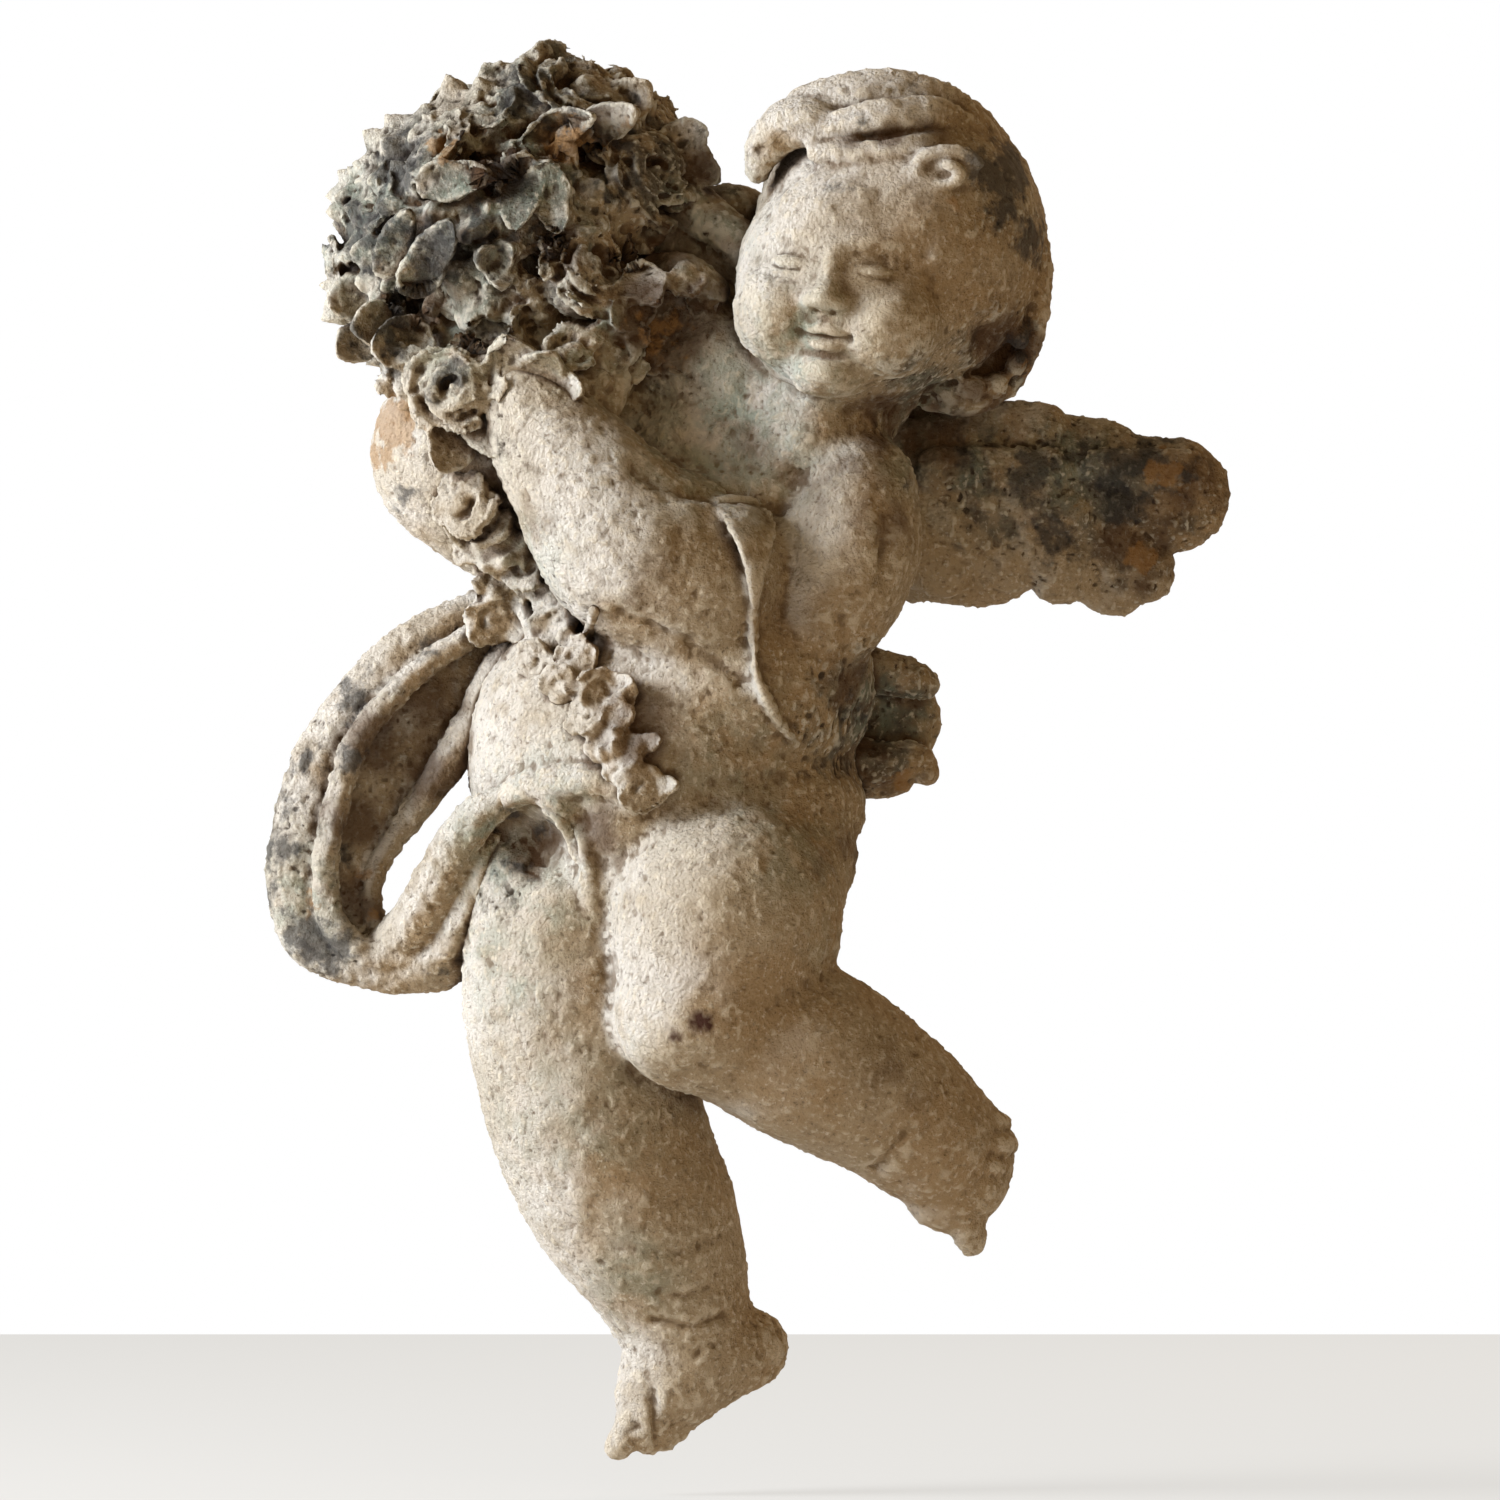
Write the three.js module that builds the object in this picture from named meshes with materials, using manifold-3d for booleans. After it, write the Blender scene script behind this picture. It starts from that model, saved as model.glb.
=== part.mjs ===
// A stone putto for a wall, in high relief: a flying child who holds a sheaf of roses at the shoulder,
// with a garland across the belly, a scarf that loops out beside the hip, and a wing.
// It is one solid with a flat back. Millimetres, +Z up, the figure faces -Y and its back lies on y = 0.
// The origin is on the flat back, behind the ribs.
import * as THREE from "three";
import { mergeVertices } from "three/addons/utils/BufferGeometryUtils.js";
import Module from "manifold-3d";

const wasm = await Module();
wasm.setup();

// Driving sizes
const HEIGHT = 712; // from the topmost rose to the toes
const ROSE_LOBES = 5; // petals in each ring of a rose
const PETAL_DEPTH = 0.12; // how far the gaps between petals cut in, as a share of the rose's radius

// Every place and radius below is a share of HEIGHT, given in millimetres on a figure of 712 mm:
// x to the right, z up, and depth out from the wall.
const DRAWN_HEIGHT = 712;
const share = HEIGHT / DRAWN_HEIGHT;
const at = (x, z, depth) => new THREE.Vector3(x, -depth, z).multiplyScalar(share);
const OUT = new THREE.Vector3(0, -1, 0);

// Solids

function solid(geometry) {
  const bare = geometry.clone();
  for (const name of Object.keys(bare.attributes)) {
    if (name !== "position") bare.deleteAttribute(name);
  }
  const merged = mergeVertices(bare, 1e-4);
  return new wasm.Manifold(
    new wasm.Mesh({
      numProp: 3,
      vertProperties: new Float32Array(merged.attributes.position.array),
      triVerts: new Uint32Array(merged.index.array),
    }),
  );
}

function geometryOf(made) {
  const mesh = made.getMesh();
  const places = new Float32Array(mesh.numVert * 3);
  for (let i = 0; i < mesh.numVert; i++) {
    places.set(mesh.vertProperties.subarray(i * mesh.numProp, i * mesh.numProp + 3), i * 3);
  }
  return new THREE.BufferGeometry()
    .setAttribute("position", new THREE.BufferAttribute(places, 3))
    .setIndex(new THREE.BufferAttribute(mesh.triVerts, 1));
}

const joined = (solids) => solids.reduce((whole, piece) => whole.add(piece));

// Fills the hollows that are shut in between overlapping solids: their skins enclose a negative volume.
const filled = (made) => joined(made.decompose().filter((skin) => skin.volume() > 0));

// An ellipsoid. wide, high and deep are its half sizes; lean turns it in the wall's plane, clockwise
// as seen from the front, in degrees. A detail of 0 is for toes, lips and the like.
function ball([x, z, depth], [wide, high, deep], { detail = 2, lean = 0 } = {}) {
  const shape = detail > 0 ? new THREE.IcosahedronGeometry(1, detail) : new THREE.SphereGeometry(1, 6, 4);
  shape.scale(wide * share, deep * share, high * share);
  shape.rotateY(THREE.MathUtils.degToRad(lean));
  shape.translate(...at(x, z, depth));
  return solid(shape);
}

// A capsule bent along a smooth curve. Each station is [x, z, depth, radius], and flat is its
// thickness off the wall as a share of its breadth.
function limb(stations, { sides = 8, steps = 4, flat = 1 } = {}) {
  const curve = new THREE.CatmullRomCurve3(stations.map(([x, z, d]) => at(x, z, d)));
  const radii = new THREE.CatmullRomCurve3(stations.map((s) => new THREE.Vector3(s[3] * share, 0, 0)));
  const shape = new THREE.CapsuleGeometry(1, 1, 2, sides, steps);
  const places = shape.attributes.position;
  const point = new THREE.Vector3();
  for (let i = 0; i < places.count; i++) {
    point.fromBufferAttribute(places, i);
    const along = THREE.MathUtils.clamp(point.y + 0.5, 0, 1);
    const past = point.y + 0.5 - along;
    const radius = radii.getPoint(along).x;
    const ahead = curve.getTangent(along);
    const off = OUT.clone().addScaledVector(ahead, -OUT.dot(ahead)).normalize();
    const across = new THREE.Vector3().crossVectors(ahead, off);
    const centre = curve.getPoint(along);
    centre.addScaledVector(ahead, past * radius);
    centre.addScaledVector(across, point.x * radius);
    centre.addScaledVector(off, point.z * radius * flat);
    places.setXYZ(i, ...centre);
  }
  return solid(shape);
}

// The turn that takes +Y, a lathe's axis, to a facing direction given as [x, z, out].
function facing([x, z, out]) {
  const goal = new THREE.Vector3(x, -out, z).normalize();
  return new THREE.Quaternion().setFromUnitVectors(new THREE.Vector3(0, 1, 0), goal);
}

// A rose: rings of petals round a bud, turned on a lathe and then drawn out into lobes.
// Its profile is in shares of the rose's radius, from the stem up and over the rims to the bud.
const ROSE_PROFILE = [
  [0, -0.7],
  [1, 0.2],
  [0.55, 0.04],
  [0, 0.5],
];
function rose(place, direction, radius, { sides = 10, profile = ROSE_PROFILE } = {}) {
  const shape = new THREE.LatheGeometry(profile.map(([r, y]) => new THREE.Vector2(r, y)), sides);
  const p = shape.attributes.position;
  for (let i = 0; i < p.count; i++) {
    const angle = Math.atan2(p.getZ(i), p.getX(i));
    const lobe = 1 + PETAL_DEPTH * Math.cos(ROSE_LOBES * angle);
    p.setXYZ(i, p.getX(i) * lobe, p.getY(i), p.getZ(i) * lobe);
  }
  shape.scale(radius * share, radius * share, radius * share);
  shape.applyQuaternion(facing(direction));
  shape.translate(...place);
  return solid(shape);
}

// A leaf or a loose petal: a flat pointed oval that curls out at its tip. turn is the way its tip
// points in the wall's plane, in degrees from the right, anticlockwise as seen from the front.
function leaf([x, z, depth], turn, length, width, curl = 0.25) {
  const shape = new THREE.SphereGeometry(1, 6, 4);
  const p = shape.attributes.position;
  for (let i = 0; i < p.count; i++) {
    const along = p.getX(i);
    const taper = 1 - 0.45 * Math.max(along, 0);
    p.setXYZ(
      i,
      (along * length) / 2,
      (p.getY(i) * width) / 5 - curl * length * along * along * 0.5,
      (p.getZ(i) * width * taper) / 2,
    );
  }
  shape.rotateY(THREE.MathUtils.degToRad(-turn));
  shape.scale(share, share, share);
  shape.translate(...at(x, z, depth));
  return solid(shape);
}

// Flesh

function torso() {
  return [
    ball([28, 30, 46], [72, 74, 68]),
    ball([-10, -58, 48], [97, 88, 82]),
    ball([-18, -120, 44], [89, 66, 74]),
    ball([28, 92, 52], [64, 42, 46]),
    limb([[50, 90, 62, 40], [90, 145, 80, 40]], { steps: 1 }),
  ];
}

function straightLeg() {
  const thighAndShin = limb(
    [
      [-57, -125, 60, 51],
      [-54, -180, 66, 54],
      [-45, -228, 66, 53],
      [-32, -265, 62, 51],
      [-17, -295, 58, 47],
      [-5, -325, 54, 39],
      [4, -350, 52, 34],
    ],
    { sides: 10, steps: 5 },
  );
  const foot = [
    limb([[32, -355, 46, 21], [6, -364, 54, 29], [-13, -382, 58, 23], [-18, -392, 62, 15]], { steps: 3 }),
    limb([[-23, -384, 66, 10], [-31, -402, 64, 7.5]], { sides: 7, steps: 1 }),
  ];
  const toes = [0, 1, 2, 3].map((n) =>
    ball([-17 + 7 * n, -400 + 1.2 * n * n - n, 64 - n], [6.8 - 0.3 * n, 7, 6], { detail: 0 }),
  );
  return [thighAndShin, ...foot, ...toes];
}

function raisedLeg() {
  const thigh = limb([[44, -108, 74, 43], [23, -137, 104, 57], [12, -182, 116, 43]], {
    sides: 12,
    steps: 4,
  });
  const calf = limb(
    [
      [20, -190, 112, 38],
      [60, -206, 100, 44],
      [102, -231, 84, 39],
      [126, -249, 74, 34],
    ],
    { sides: 10, steps: 4 },
  );
  const foot = ball([137, -263, 70], [29, 35, 21], { lean: 12 });
  const toes = [0, 1, 2, 3].map((n) =>
    ball([158 + 4 * n - 1.9 * n * n, -242 - 11 * n, 68], [7.2, 7, 8], { detail: 0 }),
  );
  const bigToe = limb([[134, -282, 70, 11], [144, -298, 68, 9]], { sides: 7, steps: 1 });
  return [thigh, calf, foot, ...toes, bigToe];
}

function arms() {
  const shoulderAndUpperArm = limb([[86, 68, 84, 32], [82, 40, 90, 36], [64, 8, 90, 31], [58, -18, 84, 27]]);
  const forearm = limb(
    [
      [2, 30, 112, 47],
      [-27, 50, 118, 43],
      [-50, 80, 114, 35],
      [-67, 102, 108, 28],
      [-84, 122, 100, 20],
    ],
    { sides: 10, steps: 4 },
  );
  const raisedUpperArm = limb([[-30, 35, 45, 46], [-106, 95, 48, 50]], { sides: 10, steps: 1 });
  const raisedShoulder = limb([[38, 120, 62, 38], [0, 146, 56, 36], [-30, 168, 52, 25]], { steps: 2 });
  return [shoulderAndUpperArm, forearm, raisedUpperArm, raisedShoulder];
}

// The head is turned to the figure's right and tilted. The face is a plain, calm child's face set out
// on a ball by the usual proportions of an infant: eyes below the middle, full cheeks, small mouth.
const FACE = { x: 88, z: 177, depth: 98, radius: 61, turn: 14, tilt: 7 };
function onFace(sideways, up, out = 1) {
  const reach = Math.sqrt(Math.max(0, 1 - sideways ** 2 - up ** 2)) * out;
  const place = new THREE.Vector3(sideways, -reach, up).multiplyScalar(FACE.radius);
  place.applyAxisAngle(new THREE.Vector3(0, 0, 1), THREE.MathUtils.degToRad(-FACE.turn));
  place.applyAxisAngle(new THREE.Vector3(0, 1, 0), THREE.MathUtils.degToRad(FACE.tilt));
  return [FACE.x + place.x, FACE.z + place.z, FACE.depth - place.y];
}

function head() {
  const skull = ball([110, 201, 76], [74, 78, 75]);
  const face = ball([FACE.x, FACE.z, FACE.depth], [FACE.radius, 62, 60]);
  const features = [-1, 1].flatMap((side) => [
    ball(onFace(side * 0.4, -0.32, 0.6), [27, 27, 26], { detail: 1 }),
    ball(onFace(side * 0.36, 0.1, 0.98), [10, 6, 4.5], { detail: 0, lean: FACE.tilt }),
    ball(onFace(side * 0.11, -0.23, 1), [5, 4, 5], { detail: 0 }),
  ]);
  const nose = limb([[...onFace(0, 0.1, 0.97), 4], [...onFace(0, -0.19, 1.08), 6.5]], {
    sides: 6,
    steps: 1,
  });
  const lips = [-0.44, -0.54].map((up) =>
    ball(onFace(0, up, 1.03), [8.5, 2.8, 4], { detail: 0, lean: FACE.tilt }),
  );
  const chin = ball(onFace(0, -0.74, 0.92), [17, 14, 12], { detail: 1 });
  return [skull, face, ...features, nose, ...lips, chin];
}

function hair() {
  const locks = [
    [[72, 248, 132, 12], [54, 249, 128, 13], [40, 242, 118, 12], [35, 232, 108, 9]],
    [[60, 240, 138, 10], [86, 254, 136, 15], [112, 258, 130, 16], [138, 249, 118, 16], [156, 228, 102, 14]],
    [[68, 240, 148, 7], [95, 246, 149, 8], [122, 245, 143, 8], [148, 232, 128, 8]],
    [[158, 232, 88, 14], [170, 200, 80, 13], [175, 168, 76, 12], [171, 134, 70, 13]],
    [[148, 226, 118, 12], [160, 196, 110, 12], [165, 166, 100, 13], [156, 140, 92, 16]],
    [[128, 120, 74, 14], [150, 124, 72, 15], [170, 126, 60, 12]],
  ];
  const templeCurl = ball([133, 233, 144], [17, 11, 7], { detail: 0, lean: -8 });
  return [...locks.map((lock) => limb(lock, { sides: 6, steps: 4 })), templeCurl];
}

// Wing: rounded feathers laid over one another, flat against the wall

function wing() {
  return [
    [[110, 74, 13, 50], [150, 64, 13, 47]],
    [[160, 82, 13, 36], [206, 72, 13, 40]],
    [[205, 80, 16, 26], [249, 73, 14, 29]],
    [[186, 62, 18, 24], [224, 34, 14, 20]],
    [[168, 60, 20, 22], [196, 38, 18, 24]],
    [[110, 96, 18, 26], [180, 102, 16, 22]],
  ].map((feather) => limb(feather, { flat: 0.6, steps: 1 }));
}

// Scarf: flutes of cloth, each a bent tube, with a thinner web behind them

function scarf() {
  const flutes = [
    [[-99, 12, 34, 8], [-140, -6, 38, 9], [-172, -38, 40, 9], [-194, -78, 42, 8], [-200, -112, 44, 8],
      [-196, -145, 46, 8], [-178, -164, 48, 9], [-148, -173, 50, 9], [-118, -171, 52, 9]],
    [[-98, -4, 48, 8], [-130, -22, 54, 9], [-158, -52, 57, 9], [-176, -88, 57, 8], [-180, -116, 56, 8],
      [-175, -142, 55, 9], [-156, -158, 56, 9], [-130, -158, 60, 10]],
    [[-96, -36, 40, 12], [-114, -54, 40, 13], [-134, -76, 38, 12], [-152, -102, 38, 8], [-156, -128, 40, 7],
      [-146, -148, 44, 8]],
  ];
  const web = limb(
    [[-92, -14, 26, 26], [-132, -36, 26, 28], [-162, -74, 28, 27], [-178, -110, 30, 23], [-176, -140, 32, 22],
      [-150, -161, 34, 15], [-118, -164, 36, 16]],
    { flat: 0.55, sides: 6, steps: 6 },
  );
  const lowerStrand = [
    [[-150, -160, 52, 12], [-124, -150, 60, 12], [-110, -121, 74, 14], [-92, -96, 92, 9], [-72, -77, 108, 8],
      [-44, -73, 122, 8], [-22, -82, 128, 8]],
    [[-128, -170, 44, 10], [-106, -166, 54, 13], [-92, -140, 74, 12], [-84, -112, 90, 10]],
  ];
  return [
    ...flutes.map((flute) => limb(flute, { sides: 5, steps: 7 })),
    web,
    ...lowerStrand.map((strand) => limb(strand, { sides: 5, steps: 6 })),
  ];
}

function loincloth() {
  const folds = [
    [[-72, -82, 108, 9], [-52, -100, 114, 8], [-40, -128, 114, 7], [-36, -160, 108, 6]],
    [[-88, -104, 92, 9], [-84, -134, 98, 8], [-92, -164, 92, 8]],
    [[-24, -84, 126, 8], [-22, -108, 122, 7], [-34, -136, 112, 6]],
  ];
  const cloth = ball([-60, -122, 82], [42, 48, 28], { detail: 1, lean: -8 });
  return [cloth, ...folds.map((fold) => limb(fold, { sides: 6, steps: 4 }))];
}

function scarfTail() {
  return [
    limb([[66, -12, 26, 13], [118, -19, 26, 10]], { sides: 7, steps: 1 }),
    limb([[66, -38, 28, 10], [112, -40, 26, 8]], { sides: 7, steps: 1 }),
    limb([[66, -58, 30, 13], [117, -62, 28, 11]], { sides: 7, steps: 1 }),
    limb([[60, -36, 14, 25], [92, -38, 13, 27]], { steps: 1, flat: 0.5 }),
  ];
}

function sash() {
  return [
    limb(
      [[26, 66, 142, 12], [34, 50, 148, 11], [38, 24, 146, 7], [38, -6, 130, 5], [40, -30, 120, 4],
        [53, -48, 112, 3]],
      { sides: 6, steps: 6, flat: 0.8 },
    ),
  ];
}

// Flowers

// The sheaf is a dome, and each rose sits on it and faces out of it. A place on it is given as shares
// of its half width and half height from its middle, and proud is how far out of the dome it lies.
const SHEAF = { x: -80, z: 208, depth: 18, wide: 90, high: 90, deep: 92 };
function onSheaf(u, v, proud = 0) {
  const w = Math.sqrt(Math.max(0.06, 1 - u * u - v * v));
  return {
    place: [SHEAF.x + u * SHEAF.wide, SHEAF.z + v * SHEAF.high, SHEAF.depth + w * SHEAF.deep + proud],
    direction: [u / SHEAF.wide, v / SHEAF.high, w / SHEAF.deep],
  };
}

function sheafRoses() {
  const roses = [
    [0.333, 0.756, 33],
    [0.8, 0.533, 28],
    [0.667, 0.178, 30],
    [-0.122, 0.667, 27],
    [-0.444, 0.433, 23],
    [-0.778, 0.156, 25],
    [-0.922, -0.211, 25],
    [-0.867, -0.556, 25],
    [0.089, 0.4, 22],
    [0.111, 0.022, 26],
    [-0.222, -0.333, 24],
    [0.411, -0.267, 27],
    [-0.356, 0.022, 22],
  ];
  return roses.map(([u, v, radius]) => {
    const { place, direction } = onSheaf(u, v, -4);
    return rose(at(...place), direction, radius);
  });
}

// The lowest roses lie over the wrist and the hand, and face nearly straight out.
function wristRoses() {
  return [
    [-112, 124, 108, 27],
    [-80, 142, 114, 20],
    [-54, 134, 122, 22],
    [-22, 150, 104, 22],
    [6, 160, 88, 26],
  ].map(([x, z, depth, radius]) => rose(at(x, z, depth), [-0.2, 0.15, 1], radius));
}

function sheaf() {
  const inset = 20;
  const heart = ball(
    [SHEAF.x, SHEAF.z, SHEAF.depth],
    [SHEAF.wide - inset, SHEAF.high - inset, SHEAF.deep - inset / 2],
  );
  const sides = [
    ball([SHEAF.x + 0.556 * SHEAF.wide, SHEAF.z + 0.156 * SHEAF.high, 40], [38, 52, 40], { detail: 1 }),
    ball([SHEAF.x - 0.622 * SHEAF.wide, SHEAF.z - 0.333 * SHEAF.high, 36], [38, 48, 40], { detail: 1 }),
    ball([-64, 146, 66], [66, 34, 42], { detail: 1 }),
    ball([14, 212, 48], [36, 20, 24], { detail: 1, lean: -20 }),
    ball([18, 170, 56], [32, 40, 30], { detail: 1 }),
  ];
  const leaves = [
    [onSheaf(-0.289, 0.178, -8).place, 20, 40, 18],
    [onSheaf(-0.64, -0.094, -6).place, 22, 54, 18],
    [onSheaf(-0.78, -0.66, 16).place, 200, 34, 24],
    [[-120, 100, 84], 190, 36, 20],
    [[-86, 128, 112], 60, 34, 18],
  ].map(([place, turn, length, width]) => leaf(place, turn, length, width));
  return [heart, ...sides, ...sheafRoses(), ...wristRoses(), ...leaves];
}

// The garland hangs from the wrist to the loins, over whatever flesh or cloth is under it.
const GARLAND = { start: [-104, 72], bend: [-66, 10], end: [-16, -80], roses: 12, radius: 15 };
const SMALL_ROSE_PROFILE = [
  [0, -1],
  [1, 0.3],
  [0.55, 0.1],
  [0, 0.62],
];
function garland(carrier) {
  const path = new THREE.QuadraticBezierCurve(
    new THREE.Vector2(...GARLAND.start),
    new THREE.Vector2(...GARLAND.bend),
    new THREE.Vector2(...GARLAND.end),
  );
  const body = new THREE.Mesh(geometryOf(carrier), new THREE.MeshBasicMaterial({ side: THREE.DoubleSide }));
  const look = new THREE.Raycaster();
  const surface = (x, z) => {
    look.set(at(x, z, 400), OUT.clone().negate());
    const hit = look.intersectObject(body)[0];
    return hit ? -hit.point.y / share : 40;
  };
  const stem = [0, 0.25, 0.5, 0.75, 1].map((along) => {
    const spot = path.getPoint(along);
    return [spot.x, spot.y, Math.max(surface(spot.x, spot.y), 56) - 2, 12];
  });
  const pieces = [limb(stem, { sides: 6, steps: 6 })];
  for (let n = 0; n < GARLAND.roses; n++) {
    const along = n / (GARLAND.roses - 1);
    const spot = path.getPoint(along);
    const side = n % 2 ? 1 : -1;
    const radius = GARLAND.radius * (1 - 0.2 * along);
    const x = spot.x + side * 8;
    const z = spot.y + side * 3;
    const depth = Math.max(surface(x, z), 58);
    const direction = [side * 0.5 - 0.2, 0.2, 1];
    pieces.push(rose(at(x, z, depth + 4), direction, radius, { sides: 8, profile: SMALL_ROSE_PROFILE }));
  }
  return pieces;
}

// The whole carving

function carving() {
  const body = joined([
    ...torso(),
    ...straightLeg(),
    ...raisedLeg(),
    ...arms(),
    ...head(),
    ...hair(),
    ...wing(),
    ...scarf(),
    ...loincloth(),
    ...scarfTail(),
    ...sash(),
    ...sheaf(),
  ]);
  const whole = joined([body, ...garland(body)]);
  const behindTheWall = new THREE.BoxGeometry(2 * HEIGHT, HEIGHT, 2 * HEIGHT).translate(0, HEIGHT / 2, 0);
  return filled(whole.subtract(solid(behindTheWall)));
}

const stone = new THREE.MeshStandardMaterial({ color: 0xb8a88c, roughness: 0.95, metalness: 0 });
const putto = new THREE.Mesh(geometryOf(carving()), stone);
putto.name = "putto";

const group = new THREE.Group();
group.add(putto);
export default group;
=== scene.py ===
"""A weathered stone putto for a wall: a flying child with a sheaf of roses, a garland, a scarf and a wing.

The carving is made as a mason would see it, as masses laid over one another: each limb, lock, feather,
fold and petal is a closed surface worked out with numpy, the masses are fused into one skin, and the
skin is then cut with creases and worn by weather.
"""
import math

import bpy
import numpy as np
import openvdb
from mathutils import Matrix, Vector
from mathutils.bvhtree import BVHTree


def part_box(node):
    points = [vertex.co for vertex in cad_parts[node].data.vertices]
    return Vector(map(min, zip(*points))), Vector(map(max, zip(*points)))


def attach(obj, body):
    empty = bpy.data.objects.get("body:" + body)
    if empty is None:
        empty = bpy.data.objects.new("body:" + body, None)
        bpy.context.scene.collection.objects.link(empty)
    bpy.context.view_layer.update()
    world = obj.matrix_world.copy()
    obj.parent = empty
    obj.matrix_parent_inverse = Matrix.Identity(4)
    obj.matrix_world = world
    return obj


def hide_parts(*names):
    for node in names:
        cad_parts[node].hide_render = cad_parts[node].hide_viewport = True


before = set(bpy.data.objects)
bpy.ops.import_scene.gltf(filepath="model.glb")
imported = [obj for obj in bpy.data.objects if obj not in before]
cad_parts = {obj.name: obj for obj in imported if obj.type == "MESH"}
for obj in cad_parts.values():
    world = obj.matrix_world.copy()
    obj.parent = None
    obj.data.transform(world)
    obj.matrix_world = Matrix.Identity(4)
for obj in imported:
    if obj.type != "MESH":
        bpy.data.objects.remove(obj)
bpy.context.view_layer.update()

# Places are drawn in millimetres on a figure 711 mm tall, as (x, z, depth): x to the right, z up from
# the mount on the flat back, and depth out from the wall. SHARE fits them to the frame's real height.
DRAWN_HEIGHT = 711.1
low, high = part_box("putto")
SHARE = (high.z - low.z) / (DRAWN_HEIGHT / 1000)
MM = SHARE / 1000

FLESH_VOXEL = 2.4  # mm, the coarse grid on which the limbs and trunk are fused and melted together
SKIN_VOXEL = 1.3  # mm, the grid for the finished figure and cloth
ROSE_VOXEL = 1.15  # mm, the same for the flowers, whose petals are thinner
ROOM_VOXEL = 2.2  # mm, the grid of distances that tells how enclosed a place is
MOST_TRIANGLES = 196000  # in one piece
CRUMB = 3000  # vertices: loose bits smaller than this are dropped after fusing


# Small tools

def place(points):
    """Points given as (x, z, depth) turned into the row frame's (x, y, z), still in millimetres."""
    points = np.asarray(points, float)
    return np.stack([points[..., 0], -points[..., 2], points[..., 1]], -1)


def unit(v):
    """Each vector divided by its length."""
    return v / np.maximum(np.linalg.norm(v, axis=-1, keepdims=True), 1e-9)


def smoothstep(low_edge, high_edge, value):
    """0 below the low edge, 1 above the high one, and 3t^2 - 2t^3 between them."""
    t = np.clip((value - low_edge) / (high_edge - low_edge), 0, 1)
    return t * t * (3 - 2 * t)


def spline(stations, count):
    """A smooth curve through the stations, by Catmull and Rom's cubic, at evenly spaced parameters."""
    p = np.asarray(stations, float)
    p = np.vstack([2 * p[0] - p[1], p, 2 * p[-1] - p[-2]])
    t = np.linspace(0, len(p) - 3 - 1e-9, count)
    k = t.astype(int)
    f = (t - k)[:, None]
    a, b, c, d = p[k], p[k + 1], p[k + 2], p[k + 3]
    return 0.5 * (2 * b + (c - a) * f + (2 * a - 5 * b + 4 * c - d) * f**2 + (3 * b - a - 3 * c + d) * f**3)


def noise(points, cell, seed):
    """Value noise from -1 to 1: a fixed chance value at each corner of a cubic lattice, blended across
    each cell by t^3 (6t^2 - 15t + 10). The lattice is turned by an angle of its own for each seed, so
    that its rows don't show. cell is the lattice spacing in the points' own unit."""
    turn, tip = 0.7 + 1.9 * seed, 0.5 + 1.3 * seed
    a = np.array([[math.cos(turn), -math.sin(turn), 0], [math.sin(turn), math.cos(turn), 0], [0, 0, 1]])
    b = np.array([[1, 0, 0], [0, math.cos(tip), -math.sin(tip)], [0, math.sin(tip), math.cos(tip)]])
    q = points @ (a @ b) / cell + seed * 17.31
    corner = np.floor(q).astype(np.int64)
    f = q - corner
    f = f**3 * (f * (6 * f - 15) + 10)
    total = np.zeros(len(points))
    for dx in (0, 1):
        for dy in (0, 1):
            for dz in (0, 1):
                h = (corner[:, 0] + dx) * 374761393 + (corner[:, 1] + dy) * 668265263
                h = (h + (corner[:, 2] + dz) * 2147483647 + seed * 974711) & 0xFFFFFFFF
                h = ((h ^ (h >> 13)) * 1274126177) & 0xFFFFFFFF
                h = h ^ (h >> 16)
                chance = (h & 0xFFFF) / 32767.5 - 1
                weight = (f[:, 0] if dx else 1 - f[:, 0]) * (f[:, 1] if dy else 1 - f[:, 1])
                total += chance * weight * (f[:, 2] if dz else 1 - f[:, 2])
    return total


# Closed surfaces. Each returns a grid of points, rows by ring, in millimetres in the row frame.

def egg(centre, sizes, lean=0.0, rows=22, ring=32):
    """An ellipsoid: latitude by longitude. sizes are half the width, height and depth; lean turns it in
    the wall's plane, clockwise as seen from the front, in degrees."""
    lat = np.linspace(-np.pi / 2, np.pi / 2, rows)[:, None]
    lon = np.linspace(0, 2 * np.pi, ring, endpoint=False)[None, :]
    x = sizes[0] * np.cos(lat) * np.cos(lon)
    d = sizes[2] * np.cos(lat) * np.sin(lon)
    z = sizes[1] * np.sin(lat) + 0 * lon
    a = math.radians(lean)
    turned = np.stack([x * math.cos(a) + z * math.sin(a), z * math.cos(a) - x * math.sin(a), d], -1)
    return place(turned + np.asarray(centre, float))


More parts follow.
